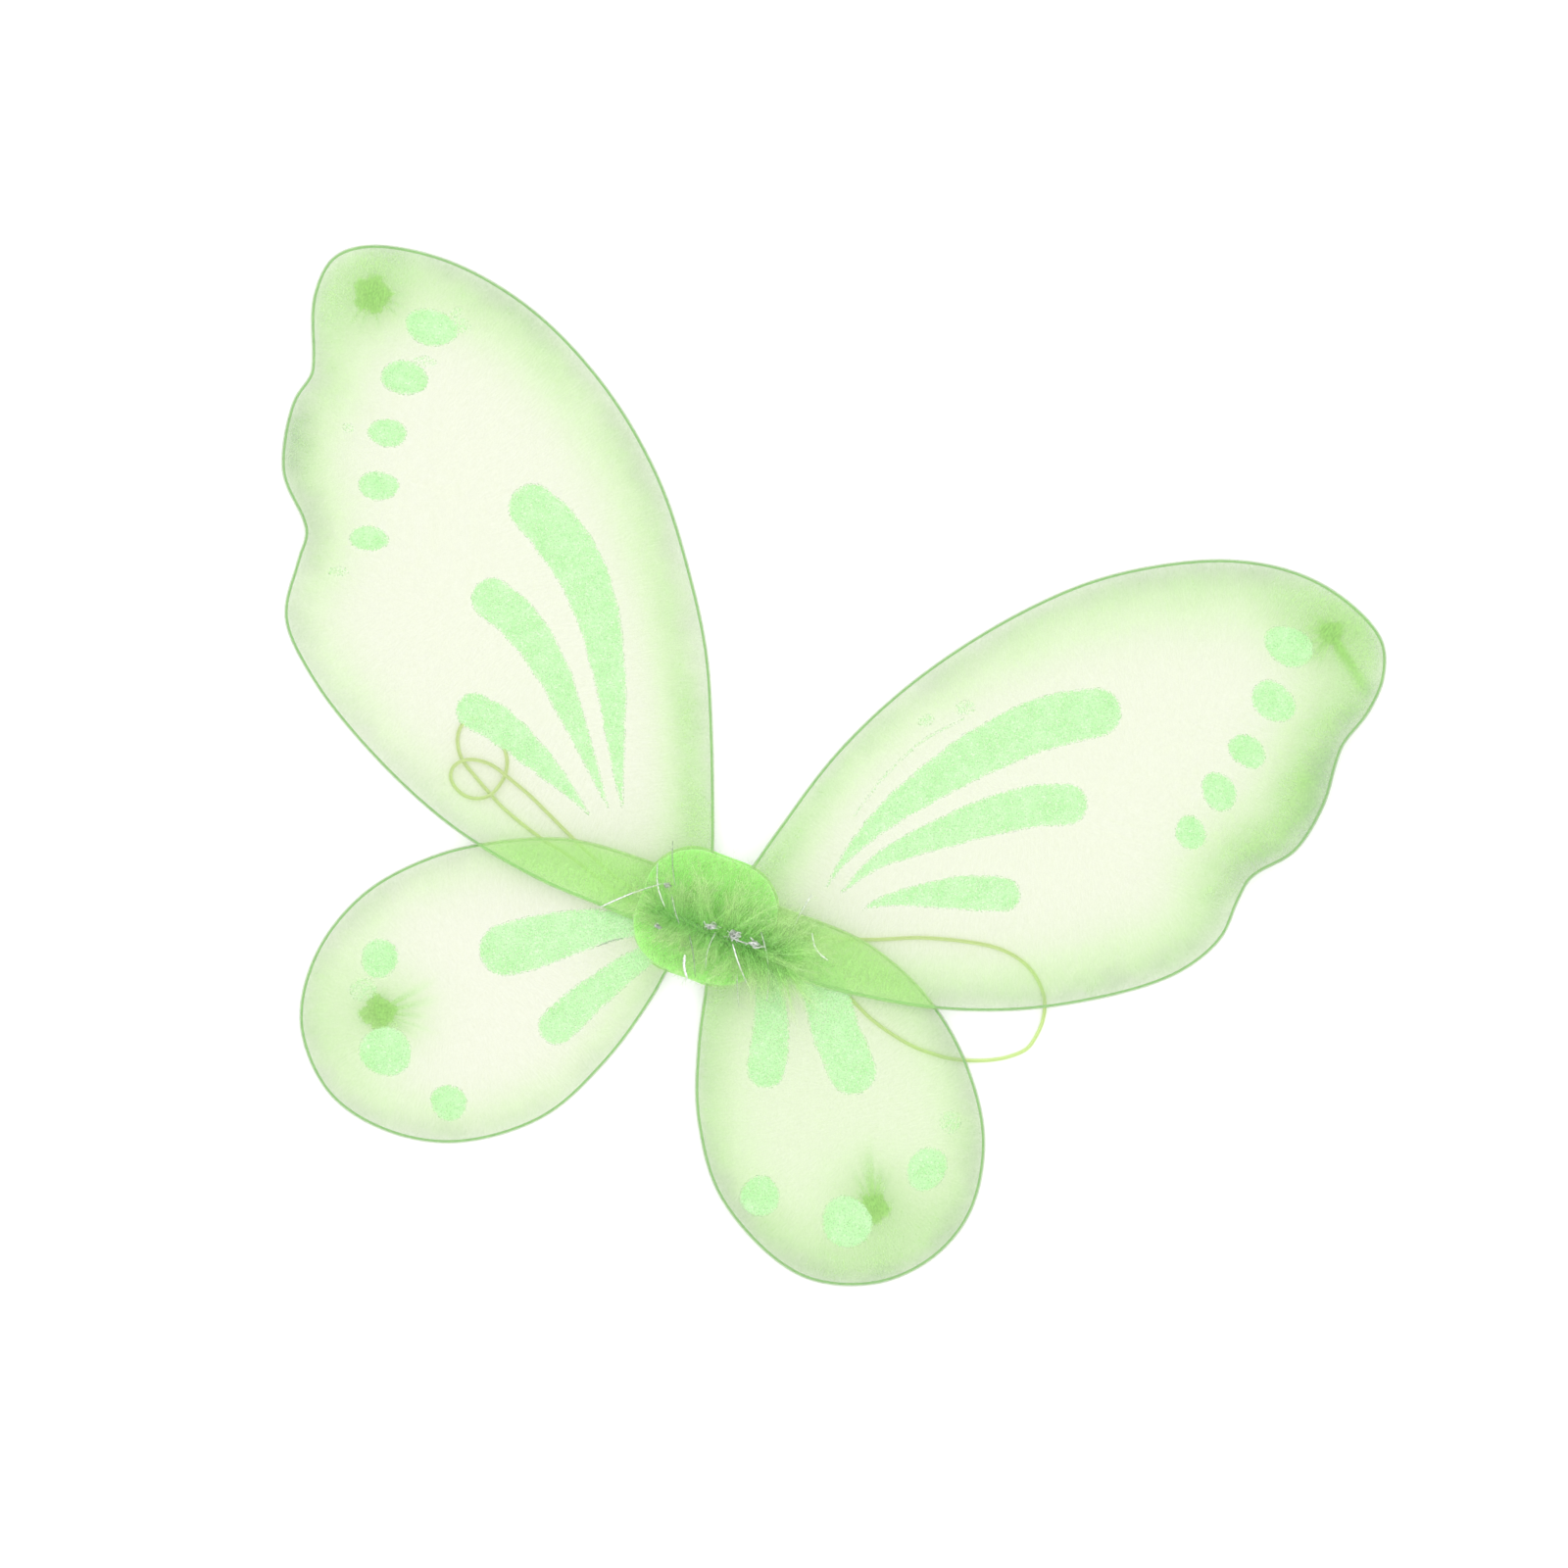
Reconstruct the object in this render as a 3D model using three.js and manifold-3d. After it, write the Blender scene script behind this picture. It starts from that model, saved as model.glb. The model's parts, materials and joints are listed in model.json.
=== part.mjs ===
// Fairy wings: four wire-framed nylon wings round a felt hub trimmed with marabou and tinsel.
// Millimetres, +Z up. The wings lie flat, feathers up, and the hub's back pad rests on z = 0.
// +Y runs towards the upper wings and +X towards the right-hand ones.
import * as THREE from 'three';
import { mergeVertices } from 'three/addons/utils/BufferGeometryUtils.js';
import Module from 'manifold-3d';

const wasm = await Module();
wasm.setup();

// ---- Driving dimensions -------------------------------------------------------------------

const GAP = 0.3; // left between pieces that touch
const FELT = 1.5; // thickness of each pad
const CORD_RADIUS = 0.75; // elastic shoulder straps
const WIRE_RADIUS = 0.75;
const NYLON = 0.25; // wall of a sleeve
const WIRE_INSET = 1.7; // from a wing's nylon edge to its wire's centre
const BALL_GAP = 0.35; // from the ball on a wing's wire to the wire left in the hub
const FOLD_GAP = 1.8; // from a fold line to the nylon on either side of it
const LASHING = 0.6; // thickness of the thread wound round the wires
const GLUE_FRONT = 0.6;

const PAD_HALF = { x: 28, y: 25.5 };
const PAD_CORNER = 20;
const BACK_PAD_MARGIN = 1; // how far the back pad shows round the front one
const GLUE_HALF = { x: 20, y: 17 };
const GLUE_CORNER = 8;
const LASHING_HALF = { x: 5, y: 2 }; // inside half-width, and half the length it covers

// The stack at the hub, from the floor up.
const STRAP_TOP_LEVEL = FELT + GAP + 2 * CORD_RADIUS;
const SLEEVE = 2 * (WIRE_RADIUS + GAP + NYLON);
const LOWER_LEVEL = STRAP_TOP_LEVEL + GAP + SLEEVE / 2; // mid-height of the lower wings
const UPPER_LEVEL = LOWER_LEVEL + SLEEVE + GAP; // mid-height of the upper wings
const LASHING_INSIDE = { low: LOWER_LEVEL - SLEEVE / 2 - GAP, high: UPPER_LEVEL + SLEEVE / 2 + GAP };
const FRONT_PAD_BOTTOM = LASHING_INSIDE.high + LASHING + GAP;
const TRIM_BOTTOM = FRONT_PAD_BOTTOM + FELT + GAP;

const TINSEL = { thickness: 0.5, width: 1.2 };
const BOA_RADIUS = 1.2;
const PLUME = { x: 4, y: -2.5, halfX: 31, halfY: 26, height: 17 };

const TUFT = { neck: 1.2, frill: 6.5, foot: 0.05, ring: 0.6, ringHeight: 0.9 };

const WIRE_SIDES = 6;
const CORD_SIDES = 8;
const CORD_STEPS = 80;
const POINTS_PER_SPAN = 4; // samples between two control points of an outline
const REACH = 320; // half the size of the blocks that part a wing from its root

// ---- Outlines, folds and routes -----------------------------------------------------------

// Each wing's nylon edge in plan. The four were bent by hand, so no two are alike. The points
// nearest the middle turn round under the pads. A fold line runs so that the wing is on its left.
const WINGS = {
  upper_left: {
    level: UPPER_LEVEL,
    fold: [[-44.5, -9.6], [-10.5, 41]],
    tuft: [-216.5, 191],
    edge: [
      [-5.5, 24.5], [-11, 40], [-23.5, 72], [-36.5, 101], [-53.5, 128], [-79.5, 161],
      [-113.5, 189], [-153.5, 208.5], [-193, 215], [-225.5, 209], [-237, 199],
      [-238.5, 181], [-230, 157], [-228.8, 151.5], [-231.5, 138.5], [-225.5, 110],
      [-208.5, 91], [-207.3, 79], [-204, 55], [-186, 36], [-153.5, 15.8], [-112.5, -1.3],
      [-73.5, -9.2], [-43.5, -10.9], [-14, -10.7], [-3, -6.5], [-0.6, 4],
    ],
  },
  upper_right: {
    level: UPPER_LEVEL,
    fold: [[10.5, 41], [44.5, -9.6]],
    tuft: [199.2, 198.2],
    edge: [
      [0.6, 4], [3, -6.5], [14, -10.7], [38.5, -11], [66.5, -9], [106.5, -1.1],
      [146.5, 15.3], [187.5, 44], [200.5, 65], [201.8, 82], [203.6, 92.5], [216.5, 109],
      [221, 131], [219.8, 149], [220, 157], [224.8, 172], [225.8, 188], [220, 202],
      [201, 212.5], [177, 216.3], [147, 210.7], [106.5, 189], [77, 162], [46.5, 121.6],
      [26.5, 82], [13.5, 38.5], [9.3, 23],
    ],
  },
  lower_left: {
    level: LOWER_LEVEL,
    fold: [[-9.8, -45], [-71.5, 8.1]],
    tuft: [-112, -83.5],
    edge: [
      [-14, 13], [-34, 13.6], [-63.5, 10.8], [-90, 0], [-112.5, -14.4], [-134.5, -39],
      [-144.5, -69], [-140.5, -98.6], [-120.2, -121], [-93.5, -127.8], [-63.5, -122.3],
      [-33.5, -100], [-17.2, -69], [-8.7, -39], [-6.3, -24], [-2, -10], [-0.6, 3], [-4, 10.5],
    ],
  },
  lower_right: {
    level: LOWER_LEVEL,
    fold: [[71.5, 8.1], [9.8, -45]],
    tuft: [106.2, -87.7],
    edge: [
      [4, 10.5], [0.6, 3], [3, -10], [8.6, -24], [14.5, -49], [25, -78], [46.5, -106.5],
      [86.5, -124.2], [116.5, -117], [135.5, -99], [143.8, -75], [138.5, -44.7],
      [120, -17.5], [96.5, 1.3], [66.5, 13.2], [36.5, 14.8], [14, 13.8],
    ],
  },
};

// Heights of a strap's middle: where it leaves the hub, on the floor, and over another turn.
const EXIT = FELT + GAP + CORD_RADIUS;
const LYING = 0.9;
const OVER = 2.75;

// The straps' routes: out between the pad and the lower wings, down to the floor, and round.
const STRAPS = {
  left_shoulder_strap: [
    [-20.4, -4.5, EXIT], [-27, -5, EXIT], [-33, -4.5, 2.4], [-41, -2.5, 1.2], [-50, 0.5, LYING],
    [-62, 4, LYING], [-74, 6.5, LYING], [-92.5, 12.5, LYING], [-100, 16.2, LYING], [-109, 21.2, LYING],
    [-115.5, 25.2, LYING], [-119.5, 30, LYING], [-121.3, 36, LYING], [-120, 41, LYING],
    [-115.5, 44, LYING], [-109, 42.5, LYING], [-103.5, 38, LYING], [-99, 32.5, LYING],
    [-97.3, 26.3, LYING], [-98, 21, 1.6], [-99.8, 16.3, OVER], [-103.5, 13.2, 1.8],
    [-108.7, 12, 1], [-114, 13.5, LYING], [-117.8, 17, 1.2], [-118.3, 21.3, 2.1],
    [-115.7, 25.1, OVER], [-111, 27.3, 1.8], [-105.5, 27.8, 1], [-101.5, 27.2, 1.6],
    [-97.4, 25.9, OVER], [-92, 24, 1.7], [-85, 21.5, LYING], [-75, 17, LYING],
    [-62.5, 11.3, LYING], [-50, 6, LYING], [-41, 2.5, 1.2], [-33, 0.5, 2.4], [-27, 0, EXIT], [-20.4, 0, EXIT],
  ],
  right_shoulder_strap: [
    [20.4, 3, EXIT], [27, 3.2, EXIT], [33, 4, 2.4], [41, 6.3, 1.2], [50, 9.3, LYING],
    [66.5, 14.8, LYING], [86.5, 23, LYING], [106.5, 28.3, LYING], [116.5, 29.6, LYING],
    [125, 28.8, LYING], [132, 26.2, LYING], [137.5, 22, LYING], [142, 16, LYING], [144, 8.6, LYING],
    [143.7, 1.3, LYING], [142, -4.7, LYING], [137, -9.8, LYING], [129.5, -14.4, LYING],
    [116.5, -19, LYING], [106.5, -20.2, LYING], [96.5, -20, LYING], [79, -16, LYING],
    [66.8, -10.6, LYING], [54, -5.2, LYING], [41, -2, 1.2], [33, -1.2, 2.4], [27, -1, EXIT],
    [20.4, -1, EXIT],
  ],
};

// Strips of tinsel, each from the spine beside the boa's core to its tip.
const TINSEL_SPINE = [[-21, -1], [34, -1]];
const TINSEL_STRIPS = [
  [[-4, -1], [2, -24]], [[14, -1], [26, -20]], [[22, -1], [31, -14]],
  [[-15, -1], [-21, 13]], [[-10, -1], [-26, -12]], [[20, -1], [25, 14]],
];
const BOA = [[-23, -5, 0], [-8, -4, 0], [8, -6, 0], [22, -4.5, 0], [36, -5.5, 0]];

// ---- Solids ---------------------------------------------------------------------------------

function solid(geometry) {
  const bare = geometry.clone();
  bare.deleteAttribute('normal');
  bare.deleteAttribute('uv');
  const merged = mergeVertices(bare, 1e-4);
  return new wasm.Manifold(
    new wasm.Mesh({
      numProp: 3,
      vertProperties: merged.attributes.position.array,
      triVerts: new Uint32Array(merged.index.array),
    }),
  );
}

function geometryOf(manifold) {
  const mesh = manifold.getMesh();
  const geometry = new THREE.BufferGeometry();
  geometry.setAttribute('position', new THREE.BufferAttribute(mesh.vertProperties, 3));
  geometry.setIndex(new THREE.BufferAttribute(mesh.triVerts, 1));
  geometry.computeVertexNormals();
  return geometry;
}

const vectors = (points) => points.map(([x, y, z = 0]) => new THREE.Vector3(x, y, z));

// A flat plate of the given outline between two heights.
function plate(outline, bottom, top) {
  const geometry = new THREE.ExtrudeGeometry(outline, {
    depth: top - bottom,
    bevelEnabled: false,
    curveSegments: 8,
  });
  return geometry.translate(0, 0, bottom);
}

function roundedRectangle(halfX, halfY, corner) {
  const shape = new THREE.Shape();
  const quarter = Math.PI / 2;
  shape.absarc(halfX - corner, halfY - corner, corner, 0, quarter);
  shape.absarc(corner - halfX, halfY - corner, corner, quarter, 2 * quarter);
  shape.absarc(corner - halfX, corner - halfY, corner, 2 * quarter, 3 * quarter);
  shape.absarc(halfX - corner, corner - halfY, corner, 3 * quarter, 4 * quarter);
  return shape;
}

// A round section swept along a curve, with flat ends.
function sweep(curve, radius, sides, steps) {
  const section = new THREE.Shape();
  for (let i = 0; i < sides; i += 1) {
    const angle = (2 * Math.PI * i) / sides;
    const point = [radius * Math.cos(angle), radius * Math.sin(angle)];
    if (i === 0) section.moveTo(...point);
    else section.lineTo(...point);
  }
  section.closePath();
  return new THREE.ExtrudeGeometry(section, { steps, bevelEnabled: false, extrudePath: curve });
}

// A lathe turned about Z from a profile of [radius, height] points.
function turned(profile, segments) {
  const points = profile.map(([radius, height]) => new THREE.Vector2(radius, height));
  return new THREE.LatheGeometry(points, segments).rotateX(Math.PI / 2);
}

// A straight strip lying flat from one plan point to another.
function strip([from, to], width, bottom, top, extra = 0) {
  const run = new THREE.Vector2(to[0] - from[0], to[1] - from[1]);
  return new THREE.BoxGeometry(run.length() + extra, width, top - bottom)
    .rotateZ(run.angle())
    .translate((from[0] + to[0]) / 2, (from[1] + to[1]) / 2, (bottom + top) / 2);
}

// ---- Wings ------------------------------------------------------------------------------------

function sampledEdge(points) {
  const curve = new THREE.CatmullRomCurve3(vectors(points), true, 'centripetal');
  const samples = curve.getPoints(POINTS_PER_SPAN * points.length);
  samples.pop();
  return samples.map((p) => new THREE.Vector2(p.x, p.y));
}

// The closed outline moved inwards by a distance.
function inset(outline, distance) {
  const inward = THREE.ShapeUtils.isClockWise(outline) ? -1 : 1;
  return outline.map((point, i) => {
    const before = outline[(i + outline.length - 1) % outline.length];
    const after = outline[(i + 1) % outline.length];
    const along = after.clone().sub(before).normalize();
    return new THREE.Vector2(
      point.x - inward * distance * along.y,
      point.y + inward * distance * along.x,
    );
  });
}

function foldLine([from, to]) {
  const start = new THREE.Vector2(...from);
  const along = new THREE.Vector2(...to).sub(start).normalize();
  const outward = new THREE.Vector2(-along.y, along.x);
  return { start, along, outward, distance: (p) => p.clone().sub(start).dot(outward) };
}

// A block whose near face runs parallel to the fold, on the wing's side (1) or the hub's (-1).
function sideBlock(fold, side) {
  const centre = fold.start.clone().addScaledVector(fold.outward, side * (FOLD_GAP + REACH));
  return new THREE.BoxGeometry(2 * REACH, 2 * REACH, 2 * REACH)
    .rotateZ(fold.along.angle())
    .translate(centre.x, centre.y, 0);
}

// The points of a closed path on one side of the fold, with both points where it crosses.
function pathBeside(path, fold, side) {
  const beyond = path.map((p) => side * fold.distance(p) > 0);
  const first = path.findIndex((p, i) => beyond[i] && !beyond[(i + path.length - 1) % path.length]);
  const crossing = (a, b) => {
    const share = fold.distance(a) / (fold.distance(a) - fold.distance(b));
    return a.clone().lerp(b, share);
  };
  const at = (i) => path[(i + path.length) % path.length];
  const points = [crossing(at(first - 1), at(first))];
  let i = first;
  for (; beyond[i % path.length]; i += 1) points.push(at(i));
  points.push(crossing(at(i - 1), at(i)));
  return points;
}

// A curve at one height through plan points, short of each end by a distance.
function levelCurve(points, level, trim) {
  const whole = new THREE.CatmullRomCurve3(points.map((p) => new THREE.Vector3(p.x, p.y, level)));
  const share = trim / whole.getLength();
  const kept = points.map((_, i) =>
    whole.getPointAt(share + ((1 - 2 * share) * i) / (points.length - 1)),
  );
  return new THREE.CatmullRomCurve3(kept);
}

function wingWire(path, fold, level) {
  const points = pathBeside(path, fold, 1);
  const curve = new THREE.CatmullRomCurve3(points.map((p) => new THREE.Vector3(p.x, p.y, level)));
  const wire = solid(sweep(curve, WIRE_RADIUS, WIRE_SIDES, points.length));
  const ball = (p) => solid(new THREE.SphereGeometry(WIRE_RADIUS, 8, 6).translate(p.x, p.y, level));
  return geometryOf(wire.add(ball(points[0])).add(ball(points[points.length - 1])));
}

function rootWire(path, fold, level) {
  const points = pathBeside(path, fold, -1);
  const curve = levelCurve(points, level, WIRE_RADIUS + BALL_GAP);
  return sweep(curve, WIRE_RADIUS, WIRE_SIDES, points.length);
}

// The nylon stocking drawn over one wire: two flat walls joined along the wing's edge.
function stocking(edge, level) {
  const low = level - SLEEVE / 2;
  const high = level + SLEEVE / 2;
  const outside = solid(plate(new THREE.Shape(edge), low, high));
  const inside = solid(plate(new THREE.Shape(inset(edge, NYLON)), low + NYLON, high - NYLON));
  return outside.subtract(inside);
}

// Where the lashing's two sides go down through the nylon.
function stitchSlots() {
  const width = LASHING + 2 * GAP;
  const length = 2 * (LASHING_HALF.y + GAP);
  const across = LASHING_HALF.x + LASHING / 2;
  const slot = (x) => solid(new THREE.BoxGeometry(width, length, REACH).translate(x, 0, 0));
  return slot(-across).add(slot(across));
}

// The gathered nylon under a wing: a neck below the sleeve, flared into a frill at the floor.
function tuft([x, y], level) {
  const top = level - SLEEVE / 2 - GAP;
  const frillTop = top * 0.4;
  const { neck, frill, foot } = TUFT;
  const profile = [
    [0, foot], [frill * 0.85, foot], [frill, frillTop * 0.45], [frill * 0.7, frillTop * 0.9],
    [neck, frillTop], [neck, top - 0.5], [2 * neck, top], [0, top],
  ];
  return turned(profile, 14).translate(x, y, 0);
}

function tieThread([x, y], level) {
  const top = level - SLEEVE / 2 - GAP;
  const low = top * 0.4 + GAP / 2;
  const high = Math.min(low + TUFT.ringHeight, top - 0.5 - GAP / 2);
  const inside = TUFT.neck + GAP;
  const outside = inside + TUFT.ring;
  const profile = [[inside, low], [outside, low], [outside, high], [inside, high], [inside, low]];
  return turned(profile, 12).translate(x, y, 0);
}

// ---- Hub ------------------------------------------------------------------------------------

function pad(margin, bottom) {
  const outline = roundedRectangle(
    PAD_HALF.x + margin, PAD_HALF.y + margin, PAD_CORNER + margin,
  );
  return plate(outline, bottom, bottom + FELT);
}

// Glue between a pad and the nylon, left open round the lashing.
function glueBed(bottom, top) {
  const outline = roundedRectangle(GLUE_HALF.x, GLUE_HALF.y, GLUE_CORNER);
  const halfX = LASHING_HALF.x + LASHING + GAP;
  const halfY = LASHING_HALF.y + GAP;
  const opening = new THREE.Path();
  opening.moveTo(-halfX, -halfY).lineTo(-halfX, halfY).lineTo(halfX, halfY);
  opening.lineTo(halfX, -halfY).closePath();
  outline.holes.push(opening);
  return plate(outline, bottom, top);
}

// The flat band of thread that goes round all four wires where they turn back.
function lashing() {
  const { low, high } = LASHING_INSIDE;
  const halfX = LASHING_HALF.x;
  const band = new THREE.Shape();
  band.moveTo(-halfX - LASHING, low - LASHING).lineTo(halfX + LASHING, low - LASHING);
  band.lineTo(halfX + LASHING, high + LASHING).lineTo(-halfX - LASHING, high + LASHING);
  const inside = new THREE.Path();
  inside.moveTo(-halfX, low).lineTo(-halfX, high).lineTo(halfX, high).lineTo(halfX, low);
  band.holes.push(inside);
  return new THREE.ExtrudeGeometry(band, { depth: 2 * LASHING_HALF.y, bevelEnabled: false })
    .rotateX(Math.PI / 2)
    .translate(0, LASHING_HALF.y, 0);
}

function tinsel(grow) {
  const top = TRIM_BOTTOM + TINSEL.thickness + grow;
  const bottom = TRIM_BOTTOM - grow;
  const width = TINSEL.width + 2 * grow;
  const pieces = [TINSEL_SPINE, ...TINSEL_STRIPS].map((ends) =>
    solid(strip(ends, width, bottom, top, 2 * grow)),
  );
  return pieces.reduce((whole, piece) => whole.add(piece));
}

function boa(grow) {
  const level = TRIM_BOTTOM + TINSEL.thickness + GAP + BOA_RADIUS;
  const curve = new THREE.CatmullRomCurve3(vectors(BOA.map(([x, y]) => [x, y, level])));
  return sweep(curve, BOA_RADIUS + grow, CORD_SIDES, 12);
}

// The soft mass of down, with room underneath for the boa's core and the tinsel.
function plume() {
  const profile = [[0, 0], [1, 0]];
  for (const degrees of [15, 32, 50, 68]) {
    const angle = THREE.MathUtils.degToRad(degrees);
    profile.push([Math.cos(angle), Math.sin(angle)]);
  }
  profile.push([0, 1]);
  const dome = turned(profile, 24)
    .scale(PLUME.halfX, PLUME.halfY, PLUME.height)
    .translate(PLUME.x, PLUME.y, TRIM_BOTTOM);
  const boaRoom = boa(GAP);
  const underBoa = plate(
    roundedRectangle(40, BOA_RADIUS + 1.5 * GAP, BOA_RADIUS),
    TRIM_BOTTOM - GAP, TRIM_BOTTOM + TINSEL.thickness + GAP + BOA_RADIUS,
  ).translate(PLUME.x, -5, 0);
  return solid(dome).subtract(solid(boaRoom)).subtract(solid(underBoa)).subtract(tinsel(GAP));
}

// ---- Materials -------------------------------------------------------------------------------

const matt = (color, roughness = 0.9) =>
  new THREE.MeshStandardMaterial({ color, roughness, metalness: 0 });

const materials = {
  nylon: () => matt(0xe2f4cf, 0.6),
  wire: () => matt(0x86b874, 0.45),
  felt: () => matt(0x9be074),
  down: () => matt(0xa9e27c),
  cord: () => matt(0xbfe07f, 0.7),
  thread: () => matt(0x8ccc60),
  glue: () => matt(0xe9ecd8, 0.35),
  tinsel: () => new THREE.MeshStandardMaterial({ color: 0xdfe6dc, roughness: 0.25, metalness: 0.8 }),
};

// ---- Assembly ----------------------------------------------------------------------------------

const group = new THREE.Group();

function place(name, geometry, material) {
  const mesh = new THREE.Mesh(geometry, materials[material]());
  mesh.name = name;
  group.add(mesh);
}

place('back_pad', pad(BACK_PAD_MARGIN, 0), 'felt');
place('back_glue_bed', glueBed(FELT + GAP, STRAP_TOP_LEVEL), 'glue');
place('hub_lashing', lashing(), 'thread');
place('front_glue_bed', glueBed(LASHING_INSIDE.high, LASHING_INSIDE.high + GLUE_FRONT), 'glue');
place('front_pad', pad(0, FRONT_PAD_BOTTOM), 'felt');
place('tinsel_garland', geometryOf(tinsel(0)), 'tinsel');
place('boa_core', boa(0), 'cord');
place('marabou_plume', geometryOf(plume()), 'down');

for (const [name, wing] of Object.entries(WINGS)) {
  const edge = sampledEdge(wing.edge);
  const path = inset(edge, WIRE_INSET);
  const fold = foldLine(wing.fold);
  const nylon = stocking(edge, wing.level);
  const root = nylon.intersect(solid(sideBlock(fold, -1))).subtract(stitchSlots());
  place(`${name}_wire`, wingWire(path, fold, wing.level), 'wire');
  place(`${name}_wire_root`, rootWire(path, fold, wing.level), 'wire');
  place(`${name}_nylon`, geometryOf(nylon.intersect(solid(sideBlock(fold, 1)))), 'nylon');
  place(`${name}_nylon_root`, geometryOf(root), 'nylon');
  place(`${name}_tuft`, tuft(wing.tuft, wing.level), 'nylon');
  place(`${name}_tie_thread`, tieThread(wing.tuft, wing.level), 'thread');
}

for (const [name, route] of Object.entries(STRAPS)) {
  const curve = new THREE.CatmullRomCurve3(vectors(route), false, 'centripetal');
  place(name, sweep(curve, CORD_RADIUS, CORD_SIDES, CORD_STEPS), 'cord');
}

export default group;
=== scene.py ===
"""Fairy wings: sheer nylon over bent wire, glitter prints, marabou down, tinsel and felt.

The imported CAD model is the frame. Lengths here are millimetres in the part's own frame, and
MM turns them into Blender's metres as each mesh is made.
"""

import json
import math

import bpy
import numpy as np
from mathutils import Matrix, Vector
from mathutils.geometry import delaunay_2d_cdt


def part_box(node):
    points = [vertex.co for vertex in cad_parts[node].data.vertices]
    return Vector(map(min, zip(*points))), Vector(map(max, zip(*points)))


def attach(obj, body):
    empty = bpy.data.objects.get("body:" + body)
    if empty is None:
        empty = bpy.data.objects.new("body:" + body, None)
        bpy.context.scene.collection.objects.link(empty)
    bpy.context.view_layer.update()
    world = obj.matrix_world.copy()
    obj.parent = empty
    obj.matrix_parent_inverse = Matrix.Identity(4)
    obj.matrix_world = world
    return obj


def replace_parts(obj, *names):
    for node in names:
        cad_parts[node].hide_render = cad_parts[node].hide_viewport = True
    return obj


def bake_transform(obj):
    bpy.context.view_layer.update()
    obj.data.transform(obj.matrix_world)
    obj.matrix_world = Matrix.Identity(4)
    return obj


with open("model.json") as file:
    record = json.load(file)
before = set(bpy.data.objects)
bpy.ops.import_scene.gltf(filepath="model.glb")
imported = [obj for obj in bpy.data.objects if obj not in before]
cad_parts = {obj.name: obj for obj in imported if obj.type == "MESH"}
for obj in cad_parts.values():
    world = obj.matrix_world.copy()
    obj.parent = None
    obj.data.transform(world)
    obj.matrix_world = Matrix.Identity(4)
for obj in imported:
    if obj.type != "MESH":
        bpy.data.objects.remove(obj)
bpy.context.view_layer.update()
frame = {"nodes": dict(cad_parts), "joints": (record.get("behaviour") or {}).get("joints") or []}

MM = 0.001
UP = np.array([0.0, 0.0, 1.0])

# ---- Driving sizes ----

STRAP_RADIUS = 0.75
WIRE_RADIUS = 0.5
WIRE_INSET = 0.95  # from the nylon's edge to the wire's centre
RIM_STEP = 1.6
SKIN_STEP = 2.7
SKIN_ROWS = (0.3, 0.8, 1.7, 2.6, 3.8, 5.6)
TUFT_RINGS = (1, 2, 3.2, 4.5, 5.8, 7.2, 8.8, 10.6, 12.6, 15, 17.8, 21, 24.6, 28.5)

# The share of the view that one skin's threads cover.
BORDER_DYE = 0.38  # for a border of strength 1
LIP_DYE = 0.3
KNOT_DYE = 0.21
HUB_DYE, HUB_DYE_REACH = 0.05, 48  # towards the hub
DOUBLED_DYE = 0.07  # where an upper and a lower wing overlap
GATHER_DYE = 0.34
HALO_DYE, HALO_REACH = 0.13, 19  # round each tuft
MOTTLES = ((0.14, 22), (0.1, 7))  # strength and size of the uneven patches in a border

STRAY = 0.6  # how far the last stray grains of glitter lie outside a print

RIPPLES = ((0.22, 55), (0.08, 17))  # height and length of the slack nylon's waves
HUB_FOLDS, HUB_FOLD_HEIGHT, HUB_FOLD_REACH = 26, 0.2, 28
CREASE_WIDTH = (0.35, 0.75)  # beside the tuft; a crease widens as it runs out
CREASE_HEIGHT, TUFT_DIP, TUFT_DIP_REACH = 0.35, 0.55, 5

# Half the thickness of a wing's two skins, by distance from the edge.
SKIN_DISTANCE = (0, 0.3, 0.8, 1.7, 2.6, 5.6, 16, 60)
SKIN_HALF = (0, 0.5, 0.8, 0.85, 0.8, 0.65, 0.45, 0.4)

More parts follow.
